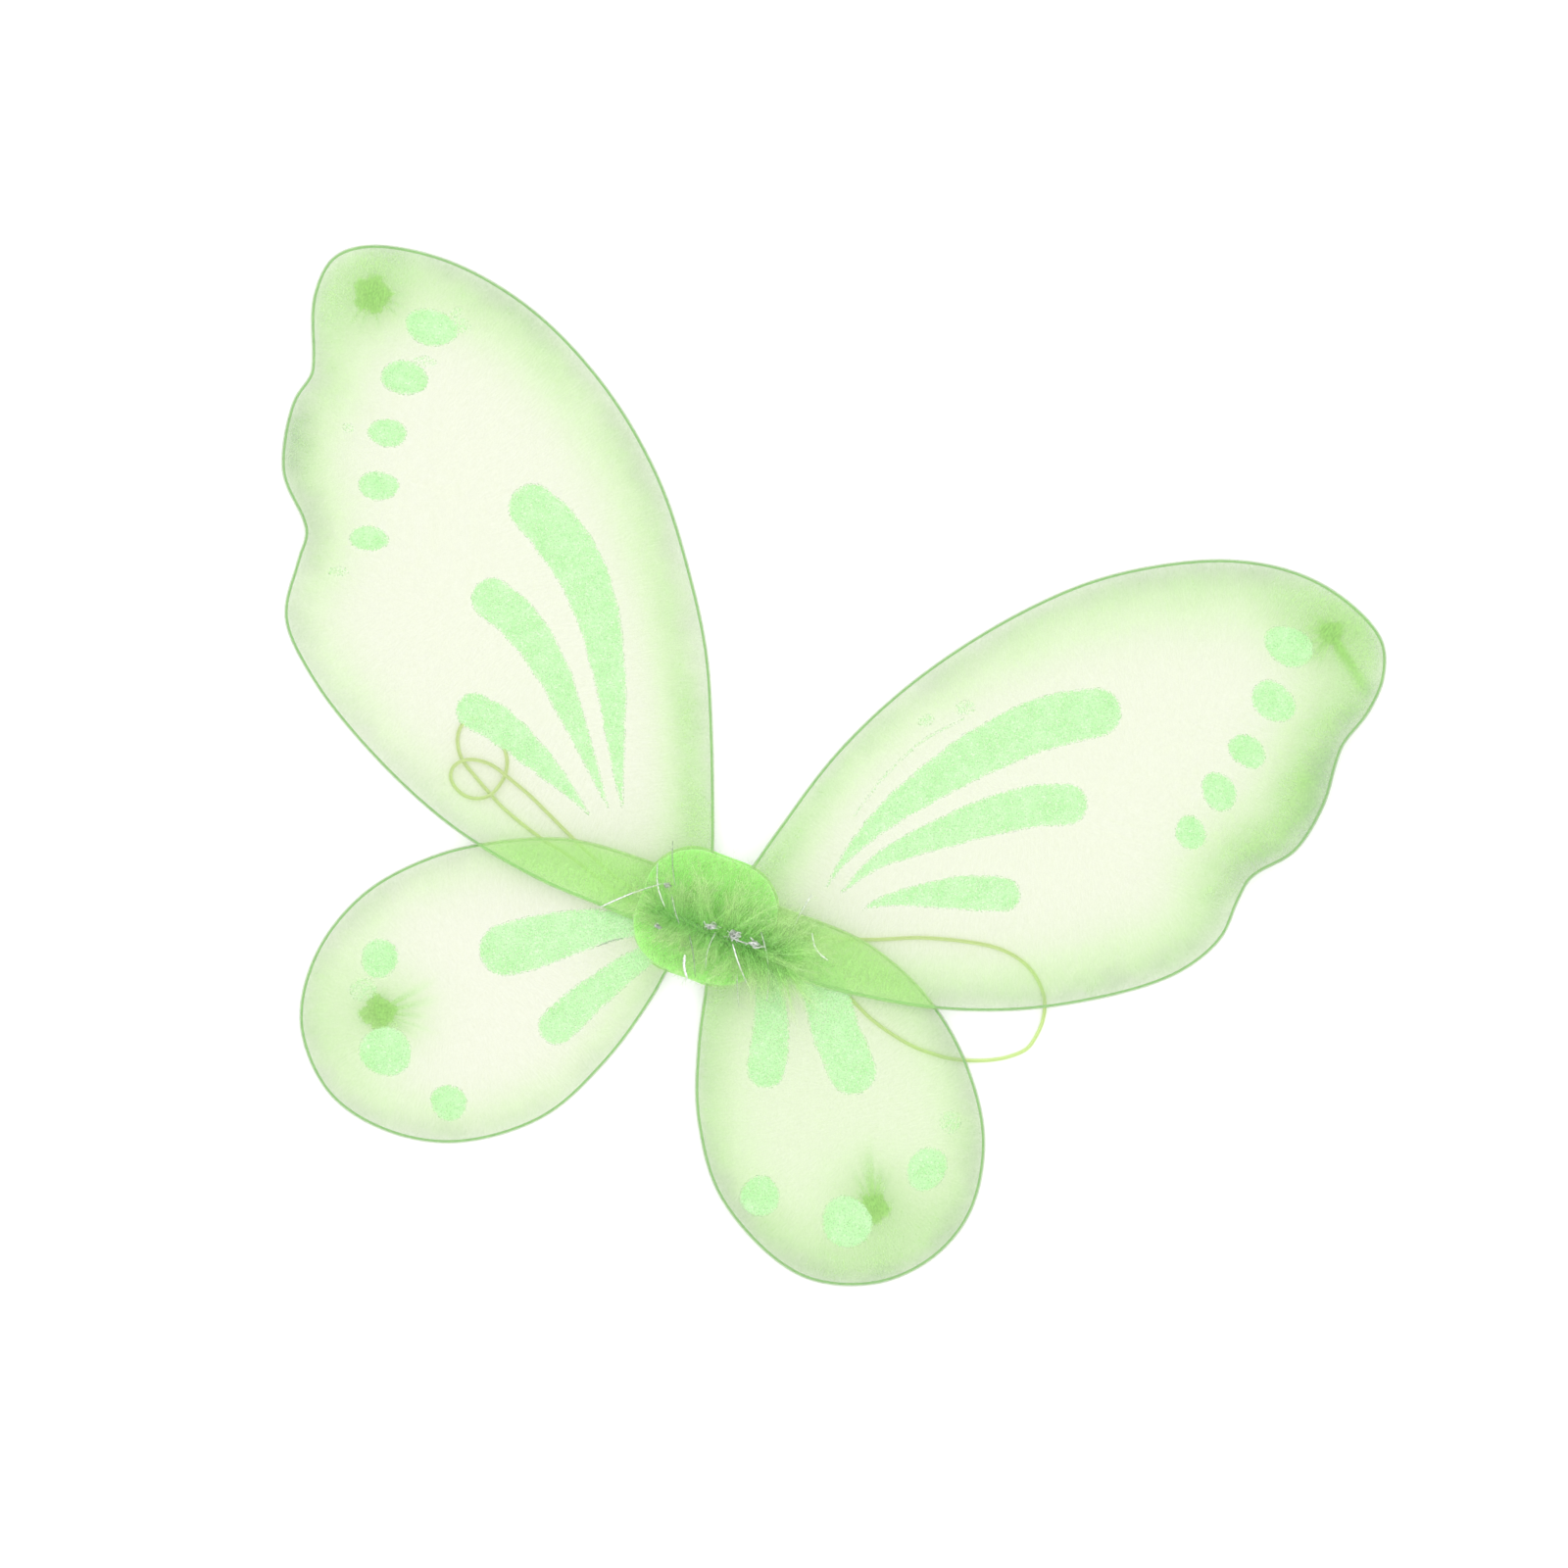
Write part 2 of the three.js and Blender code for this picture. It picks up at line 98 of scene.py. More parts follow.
# Each wing's dye where it is thinnest, its glitter print, its dyed borders and the gathers round
# its tied tuft. A dot or smear is (x, y, width, height, tilt). A drop or trail is its centreline
# as (x, y, half-width). A border is (x, y, strength, width, depth of its darkest line): the dye
# nearest to that place on the edge. Gathers are (direction, spread, count, length), and a frill
# is the tuft's (size, lobes, turn).
WINGS = {}
WINGS["upper_left"] = {
    "thin": 0.18,
    "dots": [
        (-188.8, 186.6, 21.6, 14, 10), (-191.9, 163.5, 19.5, 13, 12), (-190.7, 140, 16, 10.6, 10),
        (-186.5, 118.5, 16, 11.3, 10), (-182.7, 97, 15, 10, 15),
    ],
    "drops": [
        [(-124.5, 132, 9.5), (-111.5, 125.5, 10.5), (-98, 116, 10), (-87, 103.5, 9),
         (-77.5, 90, 7.5), (-69.5, 75.5, 6), (-61.5, 59, 4), (-54.5, 44, 2.2), (-47.4, 29.9, 0.4)],
        [(-127, 91.5, 8.3), (-115.5, 87.5, 8.2), (-104, 80.5, 7.6), (-93.5, 72, 6.6),
         (-83, 61.5, 5.2), (-73.5, 51, 3.6), (-63.5, 40, 2), (-52.9, 27.9, 0.4)],
        [(-118, 46, 7.2), (-107.5, 44.5, 7.2), (-97.5, 41, 6.4), (-87.5, 37, 5.3),
         (-77.5, 32.5, 3.7), (-67.5, 27.5, 1.7), (-59, 22.6, 0.4)],
    ],
    "borders": [
        (-233, 203, 0.34, 26, 4), (-207, 212, 0.42, 16, 2), (-162, 207, 0.5, 17, 4),
        (-117, 187, 0.42, 15, 6), (-74, 154, 0.42, 15, 8), (-43, 110, 0.4, 11, 12),
        (-19, 59, 0.5, 10, 11), (-11, 32, 0.62, 8, 8), (-235, 167, 0.42, 17, 3),
        (-230, 153, 0.4, 14, 3), (-230, 126, 0.65, 18, 4), (-208, 90, 0.42, 14, 3),
        (-206, 60, 0.34, 14, 3), (-181, 38, 0.3, 12, 3), (-142, 14, 0.26, 12, 3),
        (-102, -2, 0.3, 12, 4), (-65, -9, 0.34, 14, 4),
    ],
    "smears": [
        (-206.4, 136.1, 4, 3.4, 0), (-189.8, 80, 8, 3, 20), (-177.5, 192, 8, 5, -30),
        (-181.4, 196, 5, 3, 60), (-186.5, 172.6, 9, 4, 10),
    ],
    "gathers": [(-55, 60, 13, 15), (5, 20, 5, 16), (100, 60, 8, 6)],
    "frill": (7.2, 5, 20),
}
WINGS["upper_right"] = {
    "thin": 0.185,
    "dots": [
        (184.5, 186.6, 21, 14.8, -10), (186.5, 163.3, 19, 14.7, -25),
        (183.5, 140.5, 15.6, 12.2, -20), (178.5, 121, 15.8, 13, -35), (173.5, 101.3, 14, 11.6, -35),
    ],
    "drops": [
        [(120.5, 134, 9.7), (108.5, 127, 10.5), (96.5, 117.5, 10.3), (85, 106, 9.7),
         (74.5, 93.5, 8.5), (65, 80.5, 7), (56.5, 67.5, 5.3), (49.5, 54, 3.3), (44.5, 41, 1.5),
         (41.8, 28.3, 0.4)],
        [(122, 94.5, 8.3), (110.5, 89.5, 8.3), (98.5, 82, 7.9), (87.5, 73.5, 7), (76.5, 64, 5.7),
         (66.5, 55, 4.3), (56.5, 44, 2.5), (48.1, 28.3, 0.4)],
        [(110.5, 51, 6.8), (101, 48, 7), (91.5, 44.7, 6.4), (81.5, 40, 4.8), (71.5, 35, 3),
         (63.5, 29.7, 1.5), (58.7, 25.2, 0.4)],
    ],
    "borders": [
        (17, 30, 0.5, 9, 6), (25, 71, 0.42, 9, 5), (37, 108, 0.36, 10, 5), (64, 150, 0.36, 14, 5),
        (94, 182, 0.4, 16, 5), (144, 210, 0.45, 18, 4), (181, 213, 0.5, 20, 4),
        (209, 208, 0.48, 24, 4), (225, 193, 0.42, 20, 4), (226, 168, 0.7, 13, 5),
        (220, 150, 0.9, 14, 5), (225, 129, 1.0, 20, 7), (203, 89, 0.7, 17, 6),
        (199, 62, 0.42, 15, 6), (183, 36, 0.46, 17, 4), (155, 18, 0.46, 15, 4), (118, 3, 0.4, 14, 5),
        (79, -6, 0.34, 13, 5),
    ],
    "smears": [(69.5, 117.1, 8, 5, 30), (56.3, 106.7, 6, 4, 40)],
    "trail": [(42.2, 59.6, 0.4), (47.8, 77.9, 0.6), (57.5, 97.7, 0.6), (71, 113, 0.4)],
    "gathers": [(200, 50, 12, 11), (-80, 35, 8, 15), (150, 30, 5, 7)],
    "frill": (4.4, 3, 60),
}
WINGS["lower_left"] = {
    "thin": 0.175,
    "dots": [(-119, -62.3, 14.3, 16, 20), (-103.5, -97, 20.4, 20, 0), (-72, -107.7, 14.4, 14, 0)],
    "drops": [
        [(-72, -41, 10.5), (-63.5, -35, 10.6), (-54.5, -28.5, 9.6), (-45.5, -22.5, 8.3),
         (-36.5, -17.5, 6.5), (-27.5, -13, 5), (-19, -8.5, 3.5)],
        [(-41.5, -63, 7.3), (-37.5, -55, 7.3), (-32.5, -46, 6.5), (-27.5, -37.5, 5.8),
         (-22.5, -30, 5), (-18.5, -24.5, 4.4), (-14.5, -18, 3.4)],
    ],
    "borders": [
        (-142, -42, 0.3, 13, 3), (-122, -16, 0.25, 12, 3), (-101, -4, 0.23, 11, 3),
        (-71, 7, 0.28, 14, 3), (-145, -81, 0.33, 13, 3), (-135, -103, 0.34, 15, 3),
        (-115, -121, 0.36, 16, 3), (-89, -127, 0.34, 15, 3), (-67, -123, 0.31, 13, 3),
        (-41, -107, 0.27, 12, 3), (-21, -80, 0.25, 10, 3), (-7, -30, 0.28, 9, 3),
    ],
    "smears": [(-120.9, -76.6, 10, 9, 20)],
    "gathers": [(42, 18, 7, 24), (10, 20, 7, 22), (-25, 20, 5, 13), (95, 30, 5, 9)],
    "frill": (6.8, 4, 30),
}
WINGS["lower_right"] = {
    "thin": 0.225,
    "dots": [(120.5, -65, 14.7, 18.4, -20), (97.5, -96.6, 20.6, 20, 0), (60.5, -99.2, 16, 15.6, 0)],
    "drops": [
        [(78, -38, 9.5), (71, -30.5, 9.7), (64, -22.5, 9.5), (57, -12.5, 9.3), (47, -5, 8),
         (36, 0, 6), (24, 2, 4)],
        [(44.8, -49.5, 7.6), (43, -41, 7.6), (40.3, -32, 7), (36.5, -23, 6), (32.5, -14.5, 5),
         (27, -7, 4), (20, -3, 3)],
    ],
    "borders": [
        (10, -36, 0.36, 10, 4), (21, -62, 0.31, 11, 4), (36, -86, 0.32, 12, 3),
        (68, -115, 0.37, 15, 3), (109, -120, 0.41, 16, 3), (133, -95, 0.37, 14, 3),
        (140, -56, 0.34, 12, 3), (131, -30, 0.29, 11, 3), (110, -3, 0.26, 11, 3),
        (84, 15, 0.27, 12, 3),
    ],
    "smears": [(122.8, -43.6, 8, 9, 10)],
    "gathers": [(125, 30, 9, 25), (85, 18, 4, 18), (40, 20, 4, 9), (170, 20, 4, 9)],
    "frill": (5.6, 5, 80),
}
PLEAT = ((202.5, 195), (219.9, 181), 2.2)  # a fold lying flat in the upper right nylon
PRINT_AMOUNT = {"dot": 1.0, "drop": 0.9, "smear": 0.22, "trail": 0.5}

# The straps' routes, as the CAD model has them. Points without a height lie on the ground.
EXIT, LYING, OVER = 2.55, 0.9, 2.75
STRAPS = {
    "left_shoulder_strap": [
        (-20.4, -4.5, EXIT), (-27, -5, EXIT), (-33, -4.5, 2.4), (-41, -2.5, 1.2), (-50, 0.5),
        (-62, 4), (-74, 6.5), (-92.5, 12.5), (-100, 16.2), (-109, 21.2), (-115.5, 25.2),
        (-119.5, 30), (-121.3, 36), (-120, 41), (-115.5, 44), (-109, 42.5), (-103.5, 38),
        (-99, 32.5), (-97.3, 26.3), (-98, 21, 1.6), (-99.8, 16.3, OVER), (-103.5, 13.2, 1.8),
        (-108.7, 12, 1), (-114, 13.5), (-117.8, 17, 1.2), (-118.3, 21.3, 2.1), (-115.7, 25.1, OVER),
        (-111, 27.3, 1.8), (-105.5, 27.8, 1), (-101.5, 27.2, 1.6), (-97.4, 25.9, OVER),
        (-92, 24, 1.7), (-85, 21.5), (-75, 17), (-62.5, 11.3), (-50, 6), (-41, 2.5, 1.2),
        (-33, 0.5, 2.4), (-27, 0, EXIT), (-20.4, 0, EXIT),
    ],
    "right_shoulder_strap": [
        (20.4, 3, EXIT), (27, 3.2, EXIT), (33, 4, 2.4), (41, 6.3, 1.2), (50, 9.3), (66.5, 14.8),
        (86.5, 23), (106.5, 28.3), (116.5, 29.6), (125, 28.8), (132, 26.2), (137.5, 22), (142, 16),
        (144, 8.6), (143.7, 1.3), (142, -4.7), (137, -9.8), (129.5, -14.4), (116.5, -19),
        (106.5, -20.2), (96.5, -20), (79, -16), (66.8, -10.6), (54, -5.2), (41, -2, 1.2),
        (33, -1.2, 2.4), (27, -1, EXIT), (20.4, -1, EXIT),
    ],
}

# Strips of tinsel lying on the down: from, to, width, and how dark they look.
TINSEL = [
    ((-2.5, -17), (2, -26), 1.5, 0.0), ((-3.5, -9), (4.5, -24), 0.7, 0.9),
    ((14.1, -6), (28.2, -22), 1.1, 0.0), ((23.2, 2.5), (35.3, -23.5), 0.8, 0.4),
    ((37.3, 23.7), (35.3, -0.4), 0.8, 0.2), ((42.9, 9.2), (52.8, 1), 1.1, 0.0),
    ((-23.3, 24.5), (-16, 8), 0.6, 0.8), ((-42, -11.4), (-21.5, 6.8), 0.9, 0.2),
    ((-37.2, -26.5), (-28.1, -19.3), 0.6, 0.9), ((20.1, -17), (25.5, -29.6), 0.5, 0.5),
    ((-26, 14), (-17, -1.5), 0.8, 0.0), ((-16, 4), (-9, -6), 0.6, 0.6),
    ((6, -4), (7.5, -20), 0.5, 0.5),
]
CRUMPLES = ((3.5, -2.5, 4.6), (13.5, -2.5, 5.8), (22.5, -3, 4.6), (-19, 7, 3.4), (-17, -10, 2.6))

# The down's quill cord, as the CAD boa core runs, and the two rows of barbs on it.
CORE = ((-23, -5), (-8, -4), (8, -6), (22, -4.5), (36, -5.5))
CORD_LAY = 14  # turns of its two plies
BARBS_IN_ROW, TUFTS_IN_ROW, BARB_POINTS = 340, 26, 9
BARB_LENGTH = {1: 30, -1: 22}  # the longest ones, up and down the pad
BARB_FAN = 62  # degrees that they lean outwards at the core's ends
BARB_LIFT = (3, 62)  # degrees
BARB_RADIUS = 0.17
ROOT_HEIGHT = 13.2
OVER_NYLON = 9.9  # the height of the lowest down beside the pad
PAD_CORNER = 14
DOWN_DOME = 9.0  # the down's height where tinsel lies on it
STRIP_BOW = 1.1
CRUMPLE_STRIPS = 18
BARBULES_A_SIDE = 14
BARBULE_LENGTH = (2.2, 5.0)
BARBULE_RADII = (0.06, 0.05, 0.02)
UNDERDOWN = 3800
UNDERDOWN_LENGTH = (3, 8)
UNDERDOWN_RADIUS = 0.09
HAIR_SIDE = (0.3, 0.2, 1.0)  # across no hair in particular

# ---- The frame's own measures ----


def box(node):
    """A CAD node's lowest and highest corners, in millimetres."""
    low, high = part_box(node)
    return np.array(low) / MM, np.array(high) / MM


PAD_LOW, PAD_HIGH = box("front_pad")
PAD_TOP = PAD_HIGH[2]
PLUME_LOW, PLUME_HIGH = box("marabou_plume")
PLUME_CENTRE = (PLUME_LOW + PLUME_HIGH) / 2
PLUME_HALF = (PLUME_HIGH - PLUME_LOW) / 2


def top_outline(node):
    """The longest loop of edges round the flat top of a CAD plate, as plan points."""
    mesh = frame["nodes"][node].data
    corners = [tuple(np.round(np.array(v.co) / MM, 2)) for v in mesh.vertices]
    top = max(c[2] for c in corners)
    border = {}
    for face in mesh.polygons:
        ring = [corners[i] for i in face.vertices]
        if min(c[2] for c in ring) < top - 0.05:
            continue
        for a, b in zip(ring, ring[1:] + ring[:1]):
            if border.pop((b, a), None) is None:
                border[(a, b)] = True
    follows = dict(border.keys())
    loops = []
    while follows:
        start, point = follows.popitem()
        loop = [start]
        while point != start:
            loop.append(point)
            point = follows.pop(point)
        loops.append(np.array(loop)[:, :2])
    return max(loops, key=lambda loop: np.ptp(loop, axis=0).sum())


# ---- Curves and plan geometry ----


def between(a, b, ta, tb, t):
    """The place at t on the straight run from a, at ta, to b, at tb."""
    return ((tb - t) * a + (t - ta) * b) / (tb - ta)


def span(p, knots, t):
    """The stretch of a Catmull-Rom curve from p[1] to p[2]."""
    a = [between(p[i], p[i + 1], knots[i], knots[i + 1], t) for i in range(3)]
    b = [between(a[i], a[i + 1], knots[i], knots[i + 2], t) for i in range(2)]
    return between(b[0], b[1], knots[1], knots[2], t)


def resample(line, step, closed=False):
    """Points spaced evenly along a polyline, about a step apart."""
    line = np.asarray(line, float)
    if closed:
        line = np.vstack([line, line[:1]])
    run = np.concatenate([[0], np.cumsum(np.linalg.norm(np.diff(line, axis=0), axis=1))])
    count = max(8, round(run[-1] / step))
    at = np.linspace(0, run[-1], count, endpoint=not closed)
    return np.stack([np.interp(at, run, column) for column in line.T], axis=1)


def smooth_curve(points, step, closed=False):
    """An even run of points along the centripetal Catmull-Rom curve through some points."""
    p = np.asarray(points, float)
    if closed:
        p = np.vstack([p[-1], p, p[0], p[1]])
    else:
        p = np.vstack([2 * p[0] - p[1], p, 2 * p[-1] - p[-2]])
    knots = np.concatenate([[0], np.cumsum(np.linalg.norm(np.diff(p, axis=0), axis=1) ** 0.5)])
    line = []
    for i in range(1, len(p) - 2):
        t = np.linspace(knots[i], knots[i + 1], 24, endpoint=False)[:, None]
        line.append(span(p[i - 1:i + 3], knots[i - 1:i + 3], t))
    if not closed:
        line.append(p[-2][None])
    return resample(np.vstack(line), step, closed)


def lengths(vectors):
    return np.linalg.norm(vectors, axis=-1)


def unit(vectors):
    return vectors / np.maximum(lengths(vectors), 1e-9)[..., None]


def heading(angle):
    """The plan direction of each angle."""
    return np.stack([np.cos(angle), np.sin(angle)], axis=-1)


def signed_area(rim):
    """The area in a closed outline, above 0 if it runs anticlockwise."""
    x, y = rim.T
    return (x * np.roll(y, -1) - y * np.roll(x, -1)).sum() / 2


def edge_distance(points, rim):
    """How far each plan point is from a closed outline, and the number of the nearest segment."""
    a, b = rim, np.roll(rim, -1, axis=0)
    along = b - a
    squared = (along ** 2).sum(1)
    distance, nearest = [], []
    for some in np.array_split(points, max(1, len(points) // 800)):
        away = some[:, None] - a[None]
        share = np.clip((away * along).sum(2) / squared, 0, 1)
        gap = lengths(away - share[..., None] * along)
        nearest.append(gap.argmin(1))
        distance.append(gap.min(1))
    return np.concatenate(distance), np.concatenate(nearest)


def inside(points, rim):
    """Whether each plan point is inside a closed outline."""
    x, y = points[:, :1], points[:, 1:]
    ax, ay = rim.T
    bx, by = np.roll(rim, -1, axis=0).T
    rise = np.where(by == ay, 1e-9, by - ay)
    crosses = ((ay > y) != (by > y)) & (x < (bx - ax) * (y - ay) / rise + ax)
    return crosses.sum(1) % 2 == 1


def inward(rim):
    """The plan direction that points into a closed outline, at each of its points."""
    along = unit(np.roll(rim, -1, axis=0) - np.roll(rim, 1, axis=0))
    return np.sign(signed_area(rim)) * np.stack([-along[:, 1], along[:, 0]], axis=1)


def fill(rim, rows, spacing, extra=None, clear=None):
    """Triangles that fill a closed outline: rows of points just inside it, then an even grid.
    extra are points to keep as they are, and clear is where the grid leaves room for them."""
    points, depth = [rim], max(rows, default=0)
    for row in rows:
        line = rim + row * inward(rim)
        points.append(line[(edge_distance(line, rim)[0] > 0.94 * row) & inside(line, rim)])
    low, high = rim.min(0), rim.max(0)
    rise = spacing * math.sqrt(3) / 2
    grid = np.array([
        (x + (j % 2) * spacing / 2, y)
        for j, y in enumerate(np.arange(low[1], high[1], rise))
        for x in np.arange(low[0], high[0], spacing)
    ])
    if clear is not None:
        grid = grid[clear(grid)]
    grid = grid if extra is None else np.vstack([grid, extra])
    grid = grid[inside(grid, rim)]
    points.append(grid[edge_distance(grid, rim)[0] > depth + 0.55 * spacing])
    points = np.vstack(points)
    edges = [(i, (i + 1) % len(rim)) for i in range(len(rim))]
    made = delaunay_2d_cdt([Vector(p) for p in points], edges, [], 1, 1e-5)
    on_rim = np.array([bool(ids) and min(ids) < len(rim) for ids in made[3]])
    return np.array([tuple(v) for v in made[0]]), made[2], on_rim


def two_sided(plan, faces, on_rim, top, bottom):
    """A closed shell from one plan mesh: a top and a bottom that share the points of the rim.
    Returns its points, its faces and the plan point that each of its points came from."""
    number = np.where(on_rim, np.arange(len(plan)), 0)
    under = np.flatnonzero(~on_rim)
    number[under] = len(plan) + np.arange(len(under))
    points = np.vstack([np.column_stack([plan, top]), np.column_stack([plan, bottom])[under]])
    back = [tuple(int(number[i]) for i in reversed(face)) for face in faces]
    source = np.concatenate([np.arange(len(plan)), under])
    return points, [tuple(face) for face in faces] + back, source


def waves(points, size, seed):
    """Smooth random ripples over points, about -1 to 1, with features of about the size."""
    rng = np.random.default_rng(seed)
    total = 0
    for _ in range(5):
        way = unit(rng.normal(size=points.shape[1]))
        total = total + np.sin(
            2 * math.pi * (points @ way) / (size * rng.uniform(0.7, 1.7)) + rng.uniform(0, 6.3)
        )
    return total / 3


# ---- Making Blender pieces ----


def linked(name, data):
    made = bpy.data.objects.new(name, data)
    bpy.context.scene.collection.objects.link(made)
    return made


def piece(name, points, faces, material, slot, **attributes):
    """A smooth mesh object from points in millimetres, with a value for each point by name.
    Its attribute place keeps each point's rest position, which the materials read."""
    mesh = bpy.data.meshes.new(name)
    mesh.from_pydata((points * MM).tolist(), [], faces)
    attributes.setdefault("place", points)
    for key, values in attributes.items():
        if values.ndim == 2:
            layer = mesh.attributes.new(key, "FLOAT_VECTOR", "POINT")
            layer.data.foreach_set("vector", values.astype(np.float32).ravel())
        else:
            layer = mesh.attributes.new(key, "FLOAT", "POINT")
            layer.data.foreach_set("value", values.astype(np.float32))
    mesh.shade_smooth()
    mesh.materials.append(material)
    return linked(name, mesh)


def without_shadow(made):
    """The piece takes no light from the ground under it, as in an evenly lit studio picture."""
    made.visible_shadow = False
    made.visible_diffuse = False
    return made


def tubes(paths, radii, sides, side_way=UP, closed=False, flat=1.0, twist=0.0):
    """Tubes along paths, an array of n paths of k points each, with the radius at each point.
    side_way is roughly across the paths, flat is a section's thickness over its width, and
    twist turns the section along the path. Returns points, faces and (how far along, around)."""
    n, k = paths.shape[:2]
    if closed:
        along = np.roll(paths, -1, axis=1) - np.roll(paths, 1, axis=1)
    else:
        along = np.gradient(paths, axis=1)
    along = unit(along)
    side_way = np.broadcast_to(np.asarray(side_way, float), paths.shape)
    across = unit(side_way - (side_way * along).sum(-1, keepdims=True) * along)
    third = np.cross(along, across)
    angle = (2 * math.pi * np.arange(sides) / sides)[None, None, :, None]
    turn = np.broadcast_to(np.asarray(twist, float), (n, k))[..., None, None]
    u, v = np.cos(angle), flat * np.sin(angle)
    u, v = u * np.cos(turn) - v * np.sin(turn), u * np.sin(turn) + v * np.cos(turn)
    ring = u * across[:, :, None] + v * third[:, :, None]
    points = paths[:, :, None] + np.broadcast_to(radii, (n, k))[..., None, None] * ring
    index = np.arange(n * k * sides).reshape(n, k, sides)
    one, two = (index, np.roll(index, -1, axis=1)) if closed else (index[:, :-1], index[:, 1:])
    quads = np.stack([one, np.roll(one, -1, axis=2), np.roll(two, -1, axis=2), two], axis=-1)
    faces = quads.reshape(-1, 4).tolist()
    if not closed:
        faces += index[:, 0, ::-1].tolist() + index[:, -1].tolist()
    step = lengths(np.diff(paths, axis=1))
    run = np.concatenate([np.zeros((n, 1)), np.cumsum(step, axis=1)], axis=1)
    around = np.arange(sides) * 2 * math.pi / sides * np.max(radii)
    place = np.stack(np.broadcast_arrays(run[..., None], around, 0.0), axis=-1)
    return points.reshape(-1, 3), faces, place.reshape(-1, 3)


def tube_piece(name, paths, radius, sides, material, slot, **options):
    """Tubes along paths as one piece."""
    points, faces, place = tubes(paths, radius, sides, **options)
    return piece(name, points, faces, material, slot, place=place)


def joined(parts):
    """Several (points, faces, place) runs as one."""
    points, faces, place, start = [], [], [], 0
    for some, their_faces, their_place in parts:
        points.append(some)
        place.append(their_place)
        faces += [tuple(i + start for i in face) for face in their_faces]
        start += len(some)
    return np.vstack(points), faces, np.vstack(place)


# ---- Materials ----


def colour(red, green, blue):
    """A linear colour from the screen's 0 to 255 values."""
    return (*(((c / 255 + 0.055) / 1.055) ** 2.4 for c in (red, green, blue)), 1.0)


class Shader:
    """A material, with short calls for the nodes that it is made of."""

    def __init__(self, name, **values):
        self.material = bpy.data.materials.new(name)
        self.material.use_nodes = True
        self.tree = self.material.node_tree
        self.surface = self.tree.nodes["Principled BSDF"]
        for key, value in values.items():
            self.set(key.replace("_", " "), value)

    def set(self, socket, value):
        self.feed(self.surface.inputs[socket], value)
        return self

    def feed(self, socket, value):
        if isinstance(value, bpy.types.NodeSocket):
            self.tree.links.new(value, socket)
        else:
            socket.default_value = value

    def node(self, kind, inputs, **settings):
        made = self.tree.nodes.new("ShaderNode" + kind)
        for key, value in settings.items():
            setattr(made, key, value)
        for key, value in inputs.items():
            self.feed(made.inputs[key], value)
        return made

    def number(self, name):
        return self.node("Attribute", {}, attribute_name=name).outputs["Fac"]

    def place(self, name="place", scale=(1, 1, 1), turn=0.0):
        vector = self.node("Attribute", {}, attribute_name=name).outputs["Vector"]
        inputs = {"Vector": vector, "Scale": scale, "Rotation": (0, 0, math.radians(turn))}
        return self.node("Mapping", inputs).outputs[0]

    def noise(self, vector, size, detail=2.0):
        inputs = {"Vector": vector, "Scale": 1 / size, "Detail": detail}
        return self.node("TexNoise", inputs).outputs["Fac"]

    def cells(self, vector, size):
        """A random value in each small cell."""
        node = self.node("TexVoronoi", {"Vector": vector, "Scale": 1 / size})
        return self.node("SeparateColor", {"Color": node.outputs["Color"]}).outputs["Red"]

    def stripes(self, vector, size, distortion=1.0, direction="X"):
        inputs = {"Vector": vector, "Scale": 0.314 / size, "Distortion": distortion}
        node = self.node("TexWave", inputs, bands_direction=direction)
        return node.outputs["Fac"]

    def math(self, operation, a, b=0.0):
        node = self.node("Math", {}, operation=operation)
        self.feed(node.inputs[0], a)
        self.feed(node.inputs[1], b)
        return node.outputs[0]

    def spread(self, value, low, high, to_low=0.0, to_high=1.0):
        inputs = {
            "Value": value, "From Min": low, "From Max": high, "To Min": to_low, "To Max": to_high,
        }
        return self.node("MapRange", inputs).outputs[0]

    def ramp(self, value, *stops):
        """A colour by value, from stops of (value, red, green, blue)."""
        node = self.node("ValToRGB", {"Fac": value})
        elements = node.color_ramp.elements
        while len(elements) < len(stops):
            elements.new(0.5)
        for element, (position, *shade) in zip(elements, stops):
            element.position, element.color = position, colour(*shade)
        return node.outputs["Color"]

    def mix(self, share, a, b, blend="MIX"):
        node = self.node("Mix", {}, data_type="RGBA", blend_type=blend)
        self.feed(node.inputs[0], share)
        self.feed(node.inputs[6], a)
        self.feed(node.inputs[7], b)
        return node.outputs[2]

    def bump(self, height, depth, strength=1.0):
        """Relief of the given depth in millimetres."""
        inputs = {"Height": height, "Distance": depth * MM, "Strength": strength}
        return self.set("Normal", self.node("Bump", inputs).outputs[0])


